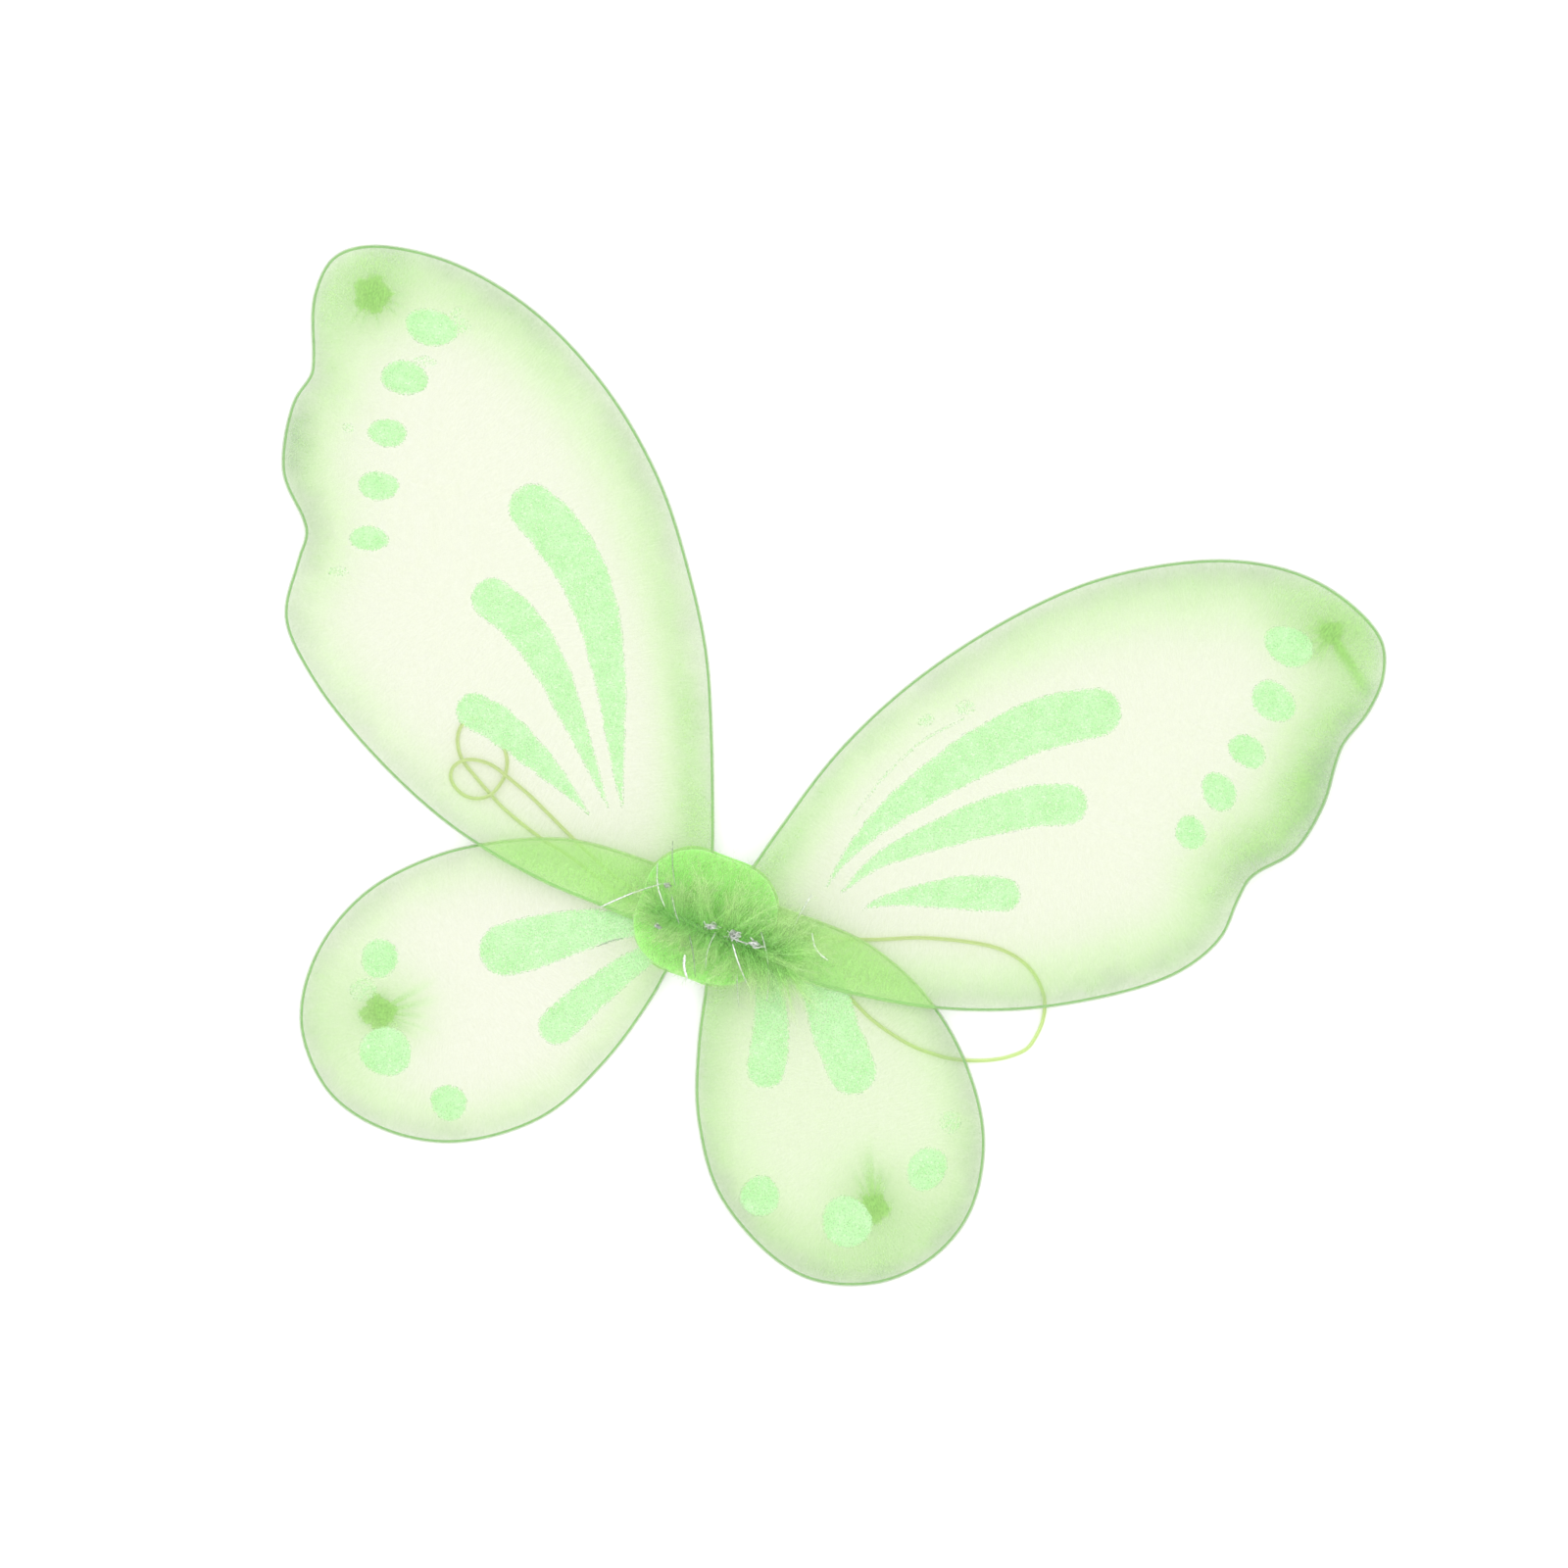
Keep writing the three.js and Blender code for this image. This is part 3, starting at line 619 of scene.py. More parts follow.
def nylon_material():
    """Dyed knit: sheer where the dye is thin, greyer and streaked close to the edge. Where wings
    overlap near the hub it is pulled towards a bright green: partly the deeper green of two layers,
    partly painted light through them.
    """
    s = Shader("sheer_nylon", Roughness=0.6, Sheen_Weight=0.1)
    dye = s.number("dye")
    weave = s.place("weave")
    depth = s.node("SeparateXYZ", {"Vector": weave}).outputs["Y"]
    knit = s.noise(s.place(turn=35, scale=(1, 0.5, 1)), 0.7, 3)
    strokes = s.noise(s.place("weave", scale=(1, 0.16, 1)), 0.9, 2)
    grain = s.math("ADD", s.math("MULTIPLY", knit, 0.55), s.math("MULTIPLY", strokes, 0.45))
    blotch = s.noise(s.place(), 14, 3)
    at_edge = s.spread(s.math("ADD", depth, s.spread(blotch, 0.3, 0.7, -3, 3)), 3, 13, 1, 0)
    green = s.ramp(
        dye,
        (0.15, 198, 197, 160), (0.25, 192, 222, 149), (0.36, 177, 219, 137),
        (0.55, 160, 213, 115), (0.9, 142, 197, 100),
    )
    grey = s.ramp(
        dye,
        (0.15, 197, 195, 158), (0.28, 178, 200, 148), (0.46, 156, 190, 134),
        (0.9, 124, 188, 100),
    )
    fleck = s.ramp(grain, (0.34, 240, 240, 240), (0.62, 255, 255, 255))
    # Where wings overlap near the hub: partly the deeper green of two layers, partly painted light
    # through them.
    doubled = s.math("MULTIPLY", s.number("doubled"), 0.6)
    dyed = s.mix(doubled, s.mix(at_edge, green, grey), colour(188, 250, 140))
    s.set("Base Color", s.mix(1.0, dyed, fleck, "MULTIPLY"))
    cover = s.math("MULTIPLY", dye, s.spread(grain, 0.32, 0.68, 0.78, 1.22))
    s.set("Alpha", s.math("MINIMUM", cover, 0.95))
    return s.bump(grain, 0.04, 0.3).material


def glitter_material():
    """Fine glitter in clear glue, whose grains thin out over its last millimetre."""
    s = Shader("glitter_print", Metallic=0.1, Sheen_Weight=0.1)
    flake = s.cells(s.place(), 0.5)
    speck = s.cells(s.place(turn=20), 0.8)
    patch = s.noise(s.place(), 8, 3)
    tone = s.ramp(
        flake,
        (0.0, 160, 211, 150), (0.2, 172, 219, 158), (0.6, 180, 222, 166),
        (0.92, 190, 226, 177), (1.0, 212, 232, 200),
    )
    deep = s.ramp(patch, (0.35, 255, 255, 255), (0.7, 236, 250, 232))
    s.set("Base Color", s.mix(1.0, tone, deep, "MULTIPLY"))
    s.set("Roughness", s.spread(speck, 0.7, 1.0, 0.6, 0.25))
    room = s.math("MULTIPLY", s.number("cover"), s.spread(patch, 0.3, 0.7, 1.1, 0.9))
    grain = s.cells(s.place(turn=50), 0.42)
    s.set("Alpha", s.spread(s.math("SUBTRACT", room, grain), -0.3, 0.25, 0.0, 0.88))
    return s.bump(flake, 0.04, 0.3).material


def down_material():
    """Down, deeper in colour near the core, with tufts that are a little darker or paler."""
    s = Shader("marabou_down", Roughness=0.7, Sheen_Weight=0.4, Alpha=0.29)
    reach, tone = s.number("reach"), s.number("tone")
    shade = s.ramp(
        reach,
        (0.0, 172, 252, 130), (0.2, 184, 254, 140), (0.5, 200, 255, 154),
        (1.0, 226, 255, 186),
    )
    light = s.ramp(tone, (0.0, 228, 246, 220), (0.6, 255, 255, 255), (1.0, 255, 255, 236))
    return s.set("Base Color", s.mix(1.0, shade, light, "MULTIPLY")).material


def felt_material():
    s = Shader("craft_felt", Roughness=0.95, Sheen_Weight=0.6)
    fibres = s.noise(s.place(scale=(1, 0.25, 1), turn=15), 0.5, 4)
    patch = s.noise(s.place(), 7, 2)
    tone = s.ramp(fibres, (0.3, 158, 226, 122), (0.7, 178, 238, 142))
    worn = s.ramp(patch, (0.3, 238, 250, 232), (0.7, 255, 255, 255))
    s.set("Base Color", s.mix(1.0, tone, worn, "MULTIPLY"))
    return s.bump(fibres, 0.25, 0.7).material


def wire_material():
    s = Shader("coated_wire", Roughness=0.4, Coat_Weight=0.2)
    coating = s.noise(s.place(), 2.5, 3)
    s.set("Base Color", s.ramp(coating, (0.3, 112, 176, 98), (0.7, 138, 200, 118)))
    return s.bump(s.noise(s.place(), 0.5, 2), 0.05, 0.4).material


def cord_material():
    s = Shader("braided_elastic", Roughness=0.7, Sheen_Weight=0.3)
    one = s.stripes(s.place(turn=40), 0.6, 0.4)
    two = s.stripes(s.place(turn=-40), 0.6, 0.4)
    braid = s.math("MAXIMUM", one, two)
    # Darker where the braid is low, between its strands: painted shade.
    s.set("Base Color", s.ramp(braid, (0.2, 182, 212, 118), (0.9, 206, 231, 150)))
    return s.bump(braid, 0.12, 0.8).material


def thread_material(name, groove_shade, crest):
    """Twisted thread: its own colour on the crests of its strands, and painted shade in the grooves
    between them.
    """
    s = Shader(name, Roughness=0.75, Sheen_Weight=0.3)
    twist = s.stripes(s.place(turn=35), 0.35, 0.3)
    # Darker in the grooves between the strands: painted shade.
    s.set("Base Color", s.ramp(twist, (0.1, *groove_shade), (0.9, *crest)))
    return s.bump(twist, 0.08, 0.8).material


def tinsel_material():
    s = Shader("tinsel_film", Metallic=0.55)
    dark = s.number("dark")
    film = s.noise(s.place(), 1.6, 2)
    bright = s.ramp(film, (0.3, 226, 244, 226), (0.5, 255, 255, 255), (0.7, 250, 240, 250))
    s.set("Base Color", s.mix(dark, bright, colour(150, 172, 140)))
    s.set("Roughness", s.spread(film, 0.3, 0.7, 0.18, 0.38))
    return s.material


def glue_material():
    s = Shader("set_glue", Roughness=0.3, Coat_Weight=0.3, Subsurface_Weight=0.2)
    metres = s.node("TexCoord", {}).outputs["Object"]
    place = s.node("Mapping", {"Vector": metres, "Scale": (1 / MM, 1 / MM, 1 / MM)}).outputs[0]
    lumps = s.noise(place, 4, 3)
    s.set("Base Color", s.ramp(lumps, (0.3, 226, 232, 206), (0.7, 243, 246, 232)))
    return s.bump(lumps, 0.3, 0.6).material


NYLON, GLITTER, DOWN, FELT = nylon_material(), glitter_material(), down_material(), felt_material()
WIRE, CORD = wire_material(), cord_material()
# Each thread's first colour is painted shade between its strands, and the second is its own colour.
THREAD = thread_material("twisted_thread", (152, 238, 112), (182, 250, 140))
BOA_CORD = thread_material("boa_cord", (122, 190, 92), (146, 208, 112))
FILM, GLUE = tinsel_material(), glue_material()

# ---- Wings ----


class Wing:
    """One wing's outline, fold and skins, all read from the CAD frame."""

    def __init__(self, name):
        self.name = name
        self.facts = WINGS[name]
        low, high = box(f"{name}_nylon")
        self.level = (low[2] + high[2]) / 2
        self.rim = self.outline()
        joint = next(j for j in frame["joints"] if j["child"] == f"{name}_wing")
        self.pivot = np.array(joint["pos_m"]) / MM
        self.outward = np.array([-joint["axis"][1], joint["axis"][0], 0.0])
        low, high = box(f"{name}_tuft")
        self.tuft = ((low + high) / 2)[:2]
        self.tuft_top = high[2]
        self.seed = sum(map(ord, name))

    def outline(self):
        """The nylon's edge, joined from the CAD's wing and root and smoothed."""
        corners = np.vstack([
            top_outline(f"{self.name}_nylon"), top_outline(f"{self.name}_nylon_root"),
        ])
        away = corners - corners.mean(0)
        corners = corners[np.argsort(np.arctan2(away[:, 1], away[:, 0]))]
        return smooth_curve(corners, RIM_STEP, closed=True)

    def bend(self, made):
        """The piece's placement, baked into its mesh."""
        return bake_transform(made)

    def beyond_fold(self, points):
        """How far points are past the fold line."""
        return (points[..., :2] - self.pivot[:2]) @ self.outward[:2]

    def from_tuft(self, plan):
        """How far each plan point is from the tuft, and in which direction in degrees."""
        away = plan - self.tuft
        return lengths(away), np.degrees(np.arctan2(away[:, 1], away[:, 0]))

    def gathers(self, plan):
        """How much the nylon is drawn together at each point, in creases that run to the tuft."""
        rng = np.random.default_rng(self.seed)
        reach, angle = self.from_tuft(plan)
        total = np.zeros(len(plan))
        for direction, spread, count, length in self.facts["gathers"]:
            for _ in range(count):
                way = direction + rng.uniform(-spread, spread)
                off = (angle - way + 180) % 360 - 180
                across = reach * np.sin(np.radians(np.clip(off, -90, 90)))
                near = np.abs(off) < 90
                width = rng.uniform(*CREASE_WIDTH) + 0.02 * reach
                long = length * rng.uniform(0.5, 1.1)
                fade = np.clip(1.15 - reach / long, 0, 1) * rng.uniform(0.5, 1.0)
                total = np.maximum(total, near * fade * np.exp(-(across / width) ** 2))
        return total

    def ripple(self, plan, depth):
        """How far the two skins together stand off the wing's middle."""
        reach, _ = self.from_tuft(plan)
        slack = np.clip(depth / 14, 0, 1)
        loose = sum(h * waves(plan, long, self.seed + i) for i, (h, long) in enumerate(RIPPLES))
        past_hub = np.maximum(lengths(plan) - 30, 0)
        turn = np.arctan2(plan[:, 1], plan[:, 0])
        drawn = HUB_FOLD_HEIGHT * np.sin(HUB_FOLDS * turn + 2 * np.sin(5 * turn))
        drawn = drawn * np.exp(-past_hub / HUB_FOLD_REACH)
        pulled = -TUFT_DIP * np.exp(-(reach / TUFT_DIP_REACH) ** 2)
        pulled = pulled + CREASE_HEIGHT * self.gathers(plan)
        return slack * (loose + drawn) + np.clip(depth / 5, 0, 1) * pulled

    def front(self, plan):
        """The height of the front skin."""
        depth, _ = edge_distance(plan, self.rim)
        return self.level + self.ripple(plan, depth) + np.interp(depth, SKIN_DISTANCE, SKIN_HALF)

    def dye(self, plan, depth):
        """The share of each skin that its threads cover."""
        keys = np.array(self.facts["borders"], float)
        away = lengths(plan[:, None] - keys[None, :, :2])
        pull = 1 / (away + 4) ** 3
        strength, width, line = ((pull * keys[:, k]).sum(1) / pull.sum(1) for k in (2, 3, 4))
        past = np.clip(depth - line, 0, None)
        before = np.clip(line - depth, 0, None)
        border = strength * np.exp(-(past / width) ** 1.7) * (1 - 0.4 * before / np.maximum(line, 1))
        (big, wide), (small, narrow) = MOTTLES
        big = big * waves(plan, wide, self.seed + 2)
        small = small * waves(plan, narrow, self.seed + 3)
        border *= 1 + big + small
        cover = self.facts["thin"] + BORDER_DYE * border
        lip = np.clip((WIRE_INSET + 0.5 - depth) / 1.2, 0, 1)
        cover = np.maximum(cover, LIP_DYE * lip)
        reach, _ = self.from_tuft(plan)
        knot = np.clip(0.5 - (reach - self.frill(plan)) / 0.6, 0, 1)
        halo = HALO_DYE * np.exp(-(reach / HALO_REACH) ** 2)
        halo = halo + HUB_DYE * np.exp(-(lengths(plan) / HUB_DYE_REACH) ** 4)
        return cover + KNOT_DYE * knot + GATHER_DYE * self.gathers(plan) + halo

    def frill(self, plan):
        """The tuft's ragged edge: its radius in the direction of each plan point."""
        _, angle = self.from_tuft(plan)
        size, lobes, turn = self.facts["frill"]
        turned = np.radians(angle - turn)
        return size * (1 + 0.13 * np.cos(lobes * turned) + 0.07 * np.sin(2.3 * lobes * turned + 1))

    def tuft_points(self):
        """Finer points round the tuft, for its creases."""
        points = [self.tuft[None]]
        for radius in TUFT_RINGS:
            count, shift = (24, 0) if radius < 4 else (84, 0.5)
            turn = 2 * math.pi * (np.arange(count) + shift) / count
            points.append(self.tuft + radius * heading(turn))
        return np.vstack(points)

    def past_tuft(self, plan):
        """Whether each plan point is outside the finer points round the tuft."""
        return self.from_tuft(plan)[0] > TUFT_RINGS[-1] + 1

    def weave(self, depth, nearest):
        """Texture coordinates along the edge and in from it."""
        return np.column_stack([nearest * RIM_STEP, depth, np.zeros(len(depth))])


def overlap(plan, other):
    """1 where another wing's nylon lies over or under this one's, fading at its edge."""
    within = inside(plan, other.rim)
    depth, _ = edge_distance(plan, other.rim)
    return within * np.clip(depth / 2.5, 0, 1)


def stocking(wing, other):
    """The nylon drawn over one wire: two skins, closed round the edge."""
    plan, faces, on_rim = fill(
        wing.rim, SKIN_ROWS, SKIN_STEP, wing.tuft_points(), wing.past_tuft,
    )
    depth, nearest = edge_distance(plan, wing.rim)
    depth[on_rim] = 0
    middle = wing.level + wing.ripple(plan, depth)
    half = np.interp(depth, SKIN_DISTANCE, SKIN_HALF)
    points, faces, source = two_sided(plan, faces, on_rim, middle + half, middle - half)
    over = overlap(plan, other)
    dye = wing.dye(plan, depth) + DOUBLED_DYE * over
    if wing.name == "upper_right":
        dye = dye + pleat(plan)
    # The nylon's material is greyer near the edge. These places stay green by looking deeper.
    green = 30 * over + 9 * np.exp(-(lengths(plan) / 80) ** 2)
    green = green + 9 * np.exp(-(wing.from_tuft(plan)[0] / 26) ** 2)
    made = piece(
        f"{wing.name}_stocking", points, faces, NYLON, "nylon",
        dye=np.clip(dye, 0, 0.9)[source], weave=wing.weave(depth + green, nearest)[source],
        # The overlap near the hub, for the nylon's bright green there: partly two layers' deeper
        # green, partly painted light.
        doubled=(over * np.exp(-(lengths(plan) / 120) ** 2))[source],
    )
    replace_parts(made, f"{wing.name}_nylon", f"{wing.name}_nylon_root")
    return wing.bend(made)


def pleat(plan):
    """A pleat pressed flat beside the upper right tuft."""
    start, end, width = np.array(PLEAT[0]), np.array(PLEAT[1]), PLEAT[2]
    run = end - start
    share = np.clip((plan - start) @ run / (run @ run), 0, 1)
    off = lengths(plan - start - share[:, None] * run)
    return (0.5 - 0.36 * share) * np.exp(-(off / (width * (0.55 + 0.6 * share))) ** 2)


def frame_wire(wing):
    """The wire that runs round inside the nylon's edge."""
    path = smooth_curve(wing.rim + WIRE_INSET * inward(wing.rim), 1.4, closed=True)
    path = np.column_stack([path, np.full(len(path), wing.level)])
    name = f"{wing.name}_frame_wire"
    made = tube_piece(name, path[None], WIRE_RADIUS, 8, WIRE, "wire", closed=True)
    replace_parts(made, f"{wing.name}_wire", f"{wing.name}_wire_root")
    return wing.bend(made)


def dot_outline(x, y, width, height, tilt, seed):
    """An oval that isn't quite even, round (x, y)."""
    turn = np.linspace(0, 2 * math.pi, 90, endpoint=False)
    swell = 1 + 0.03 * np.sin(2 * turn + seed) + 0.025 * np.sin(3 * turn + 2 * seed)
    across = (width / 2 + STRAY) * swell * np.cos(turn)
    up = (height / 2 + STRAY) * swell * np.sin(turn)
    c, s = math.cos(math.radians(tilt)), math.sin(math.radians(tilt))
    return np.column_stack([x + c * across - s * up, y + s * across + c * up])


def drop_outline(centreline, seed):
    """A teardrop round a centreline of (x, y, half-width), with a round head."""
    line = smooth_curve(centreline, 1.1)
    half = line[:, 2:] + STRAY * np.clip(line[:, 2:] / 2, 0.3, 1)
    along = unit(np.gradient(line[:, :2], axis=0))
    side = np.column_stack([-along[:, 1], along[:, 0]])
    sway = 0.03 * waves(line[:, :2], 9, seed)[:, None]
    head = np.radians(np.linspace(90, 270, 22))[1:-1, None]
    cap = line[0, :2] + half[0] * (np.cos(head) * along[0] + np.sin(head) * side[0])
    return np.vstack([
        (line[:, :2] + half * (1 + sway) * side)[::-1], cap, line[:, :2] - half * (1 - sway) * side,
    ])


def print_on(wing, kind, rim, number=""):
    """A thin raised patch of glitter glue on a wing's front skin."""
    rim = resample(rim, 1.0, closed=True)
    plan, faces, on_rim = fill(rim, (0.5, 1.1), 1.5)
    depth, _ = edge_distance(plan, rim)
    skin = wing.front(plan)
    rise = np.where(on_rim, 0.05, 0.05 + 0.1 * np.clip(depth / 0.6, 0, 1))
    sink = np.where(on_rim, 0.05, -0.04)
    cover = PRINT_AMOUNT[kind] * np.interp(depth, (0, STRAY, 2.2 * STRAY), (0, 0.35, 1))
    points, faces, source = two_sided(plan, faces, on_rim, skin + rise, skin + sink)
    name = f"{wing.name}_glitter_{kind}{number}"
    made = piece(name, points, faces, GLITTER, "tinsel", cover=cover[source])
    return wing.bend(without_shadow(made))


def prints(wing):
    """All the glitter on one wing."""
    facts, seed = wing.facts, wing.seed
    for i, dot in enumerate(facts["dots"]):
        print_on(wing, "dot", dot_outline(*dot, seed + i), f"_{i + 1}")
    for i, drop in enumerate(facts["drops"]):
        print_on(wing, "drop", drop_outline(drop, seed + 9 + i), f"_{i + 1}")
    for i, smear in enumerate(facts["smears"]):
        print_on(wing, "smear", dot_outline(*smear, seed + i), f"_{i + 1}")
    if "trail" in facts:
        print_on(wing, "trail", drop_outline(facts["trail"], seed))


def gathered_tuft(wing):
    """The slack nylon behind a wing, drawn through its tie and flared into a pleated frill."""
    top, frill = wing.tuft_top + 0.35, wing.facts["frill"][0]
    profile = smooth_curve([
        (0.3, top), (4.2, top - 0.05), (2.6, top - 0.5), (1.5, top * 0.72), (1.35, top * 0.5),
        (2.2, top * 0.4), (0.62 * frill, top * 0.36), (frill, top * 0.24),
        (0.96 * frill, top * 0.16), (0.5 * frill, top * 0.12), (0.3, top * 0.1),
    ], 0.45)
    count, pleats = 132, 19
    turn = np.linspace(0, 2 * math.pi, count, endpoint=False)
    ragged = wing.frill(wing.tuft + heading(turn)) / frill
    radius, height = profile[:, :1], profile[:, 1:]
    rng = np.random.default_rng(wing.seed)
    folds = np.sin(pleats * turn + 1.3 * np.sin(3 * turn) + rng.uniform(0, 6))
    out = np.clip((radius - 1.4) / frill, 0, 1)
    r = radius * (1 + out * (ragged - 1)) * (1 + 0.035 * np.minimum(1, out + 0.3) * folds)
    z = height + 0.12 * top * out * folds * (height < top * 0.45)
    z = np.clip(z, 0.15, top)
    plan = wing.tuft + r[..., None] * heading(turn)
    points = np.concatenate([plan, z[..., None]], axis=-1).reshape(-1, 3)
    k = len(profile)
    index = np.arange(k * count).reshape(k, count)
    one, two = index[:-1], index[1:]
    quads = np.stack([one, two, np.roll(two, -1, axis=1), np.roll(one, -1, axis=1)], axis=-1)
    faces = quads.reshape(-1, 4).tolist() + [index[0].tolist(), index[-1][::-1].tolist()]
    dye = np.tile(0.3 + 0.09 * folds, k)
    weave = np.column_stack([np.tile(turn * frill, k), points[:, 2] + 30, 0 * dye])
    name = f"{wing.name}_gathered_tuft"
    made = piece(name, points, faces, NYLON, "nylon", dye=dye, weave=weave)
    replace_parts(made, f"{wing.name}_tuft")
    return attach(made, f"{wing.name}_wing")


def tie(wing):
    """Thread wound round the neck of a tuft."""
    low, high = box(f"{wing.name}_tie_thread")
    turns, radius = 4, 0.2
    turn = np.linspace(0, 2 * math.pi * turns, 40 * turns)
    height = np.linspace(low[2] + radius, high[2] - radius, len(turn))
    wide = 1.75 + 0.1 * np.sin(2.3 * turn)
    path = np.column_stack([wing.tuft + wide[:, None] * heading(turn), height])
    made = tube_piece(f"{wing.name}_tuft_tie", path[None], radius, 6, THREAD, "thread")
    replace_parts(made, f"{wing.name}_tie_thread")
    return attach(made, f"{wing.name}_wing")


# ---- Hub ----


def felt_pad(node, seed):
    """A cut felt pad with soft edges."""
    low, high = box(node)
    rim = smooth_curve(top_outline(node), 0.9, closed=True)
    rim = rim + (0.22 * waves(rim, 14, seed) - 0.1)[:, None] * -inward(rim)
    plan, faces, on_rim = fill(rim, (0.15, 0.4, 0.8, 1.5), 1.6)
    depth, _ = edge_distance(plan, rim)
    depth[on_rim] = 0
    middle, half = (low[2] + high[2]) / 2, (high[2] - low[2]) / 2
    edge = half * np.sqrt(np.clip(1 - (1 - np.clip(depth / 0.8, 0, 1)) ** 2, 0, 1))
    rise = edge * (1 + 0.06 * waves(plan, 3, seed + 1) - 0.06)
    points, faces, _ = two_sided(plan, faces, on_rim, middle + rise, middle - rise)
    made = without_shadow(piece(f"{node}_felt", points, faces, FELT, "felt"))
    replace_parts(made, node)
    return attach(made, "hub")


def lashing():
    """Thread wound round all four wires where they turn back."""
    low, high = box("hub_lashing")
    radius, turns, step = 0.27, 7, 0.4
    half_x, half_z = high[0] - radius, (high[2] - low[2]) / 2 - radius
    middle = (high[2] + low[2]) / 2
    turn = np.linspace(0, 2 * math.pi * turns, 60 * turns)
    c, s = np.cos(turn), np.sin(turn)
    power = 2 / 7  # towards 0, the section's corners are squarer
    path = np.column_stack([
        half_x * np.sign(c) * np.abs(c) ** power,
        np.linspace(low[1] + radius, high[1] - radius, len(turn)),
        middle + half_z * np.sign(s) * np.abs(s) ** power,
    ])
    path = smooth_curve(path[::3], step)
    made = tube_piece(
        "hub_lashing_thread", path[None], radius, 6, THREAD, "thread", side_way=(0, 1, 0),
    )
    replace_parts(made, "hub_lashing")
    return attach(made, "hub")


def strap(name):
    """A shoulder strap: round elastic that leaves the hub and comes back to it."""
    path = smooth_curve([(*point, LYING)[:3] for point in STRAPS[name]], 0.9)
    made = tube_piece(f"{name}_elastic", path[None], STRAP_RADIUS, 12, CORD, "cord")
    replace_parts(made, name)
    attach(made, "hub")
    return made


# ---- Down ----


def core_line(x):
    """The core's y at each x."""
    xs, ys = np.array(CORE).T
    return np.interp(x, xs, ys)


def ground(points):
    """The height of the pad or nylon under some points, with the room that down needs over it."""
    centre, half = (PAD_LOW + PAD_HIGH) / 2, (PAD_HIGH - PAD_LOW) / 2
    past = np.abs(points[..., :2] - centre[:2]) - half[:2] + PAD_CORNER
    past = lengths(np.maximum(past, 0)) - PAD_CORNER
    return np.interp(past, (-1.0, 3.0), (PAD_TOP + 0.25, OVER_NYLON))


def barb_paths(rng, count, side):
    """Curved barbs on one side of the core: side is 1 for those that run up the pad.
    They spring from the core in tufts, as the down does on the quill strip of a boa."""
    (left, _), (right, _) = CORE[0], CORE[-1]
    tuft = (TUFTS_IN_ROW * rng.random(count) ** 0.7).astype(int)

    def shared(spread):
        return rng.normal(0, spread, TUFTS_IN_ROW)[tuft]

    x = left + (right - left) * (tuft + 0.5) / TUFTS_IN_ROW + rng.normal(0, 1.1, count)
    x = np.clip(x, left, right)
    lean = 2 * (x - left) / (right - left) - 1
    way = side * (90 - BARB_FAN * lean * np.abs(lean) ** 0.6) + shared(19) + rng.normal(0, 6, count)
    long = rng.uniform(0.5, 1, count) * BARB_LENGTH[side]
    long = long * (1 - 0.1 * np.abs(lean) + 0.25 * lean)
    long = long * np.clip(1 + shared(0.18), 0.6, 1.3)
    lift = np.radians(rng.uniform(*BARB_LIFT, count))
    curl = np.radians(shared(22) + rng.normal(0, 12, count))
    t = np.linspace(0, 1, BARB_POINTS)
    angle = np.radians(way)[:, None] + curl[:, None] * t ** 1.5
    flat = long[:, None] / (BARB_POINTS - 1) * np.cos(lift[:, None] * (1 - t) ** 0.8)
    step = flat[..., None] * heading(angle)
    plan = np.cumsum(step, axis=1) - step[:, :1]
    start = np.stack([x, core_line(x) + rng.uniform(-1.2, 1.2, count)], axis=1)
    plan = plan + start[:, None]
    rise = long[:, None] * np.sin(lift)[:, None] * (t - 0.62 * t ** 2)
    z = ROOT_HEIGHT + rng.uniform(0, 1.4, count)[:, None] + rise * 1.1 - 1.2 * t
    path = np.concatenate([plan, z[..., None]], axis=-1)
    path[..., 2] = np.maximum(path[..., 2], ground(path) + rng.uniform(0, 1, count)[:, None])
    path[..., 2] = np.minimum(path[..., 2], PLUME_HIGH[2] + 2)
    return path


def underdown():
    """Short soft hairs rooted all over the pad, combed away from the core."""
    rng = np.random.default_rng(17)
    rim = top_outline("front_pad")
    plan = rng.uniform(PAD_LOW[:2], PAD_HIGH[:2], (UNDERDOWN, 2))
    plan = plan[inside(plan, rim)]
    off = plan - np.column_stack([np.clip(plan[:, 0], -12, 14), core_line(plan[:, 0])])
    way = np.arctan2(off[:, 1], off[:, 0]) + rng.normal(0, 0.6, len(plan))
    long = rng.uniform(*UNDERDOWN_LENGTH, len(plan))
    t = np.linspace(0, 1, 5)
    turn = way[:, None] + rng.normal(0, 0.5, len(plan))[:, None] * t
    step = (long / 4)[:, None, None] * heading(turn)
    path = np.cumsum(step, axis=1) - step[:, :1] + plan[:, None]
    rise = rng.uniform(0.4, 2.6, len(plan))[:, None] * np.sin(math.pi * t ** 0.7)
    path = np.concatenate([path, (PAD_TOP - 0.1 + rise)[..., None]], axis=-1)
    path[:, 1:, 2] = np.maximum(path[:, 1:, 2], ground(path[:, 1:]))
    path = path[inside(path[:, -1, :2], rim - 2.5 * inward(rim))]
    thick = UNDERDOWN_RADIUS * np.linspace(1, 0.3, 5)[None]
    points, faces, _ = tubes(path, thick, 3, unit(np.array(HAIR_SIDE)))
    reach = np.broadcast_to(0.3 + 0.5 * t[None, :, None], (len(path), 5, 3)).ravel()
    tone = np.repeat(rng.uniform(0.2, 1, len(path)), 15)
    made = piece("pad_underdown", points, faces, DOWN, "down", reach=reach, tone=tone)
    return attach(made, "hub")


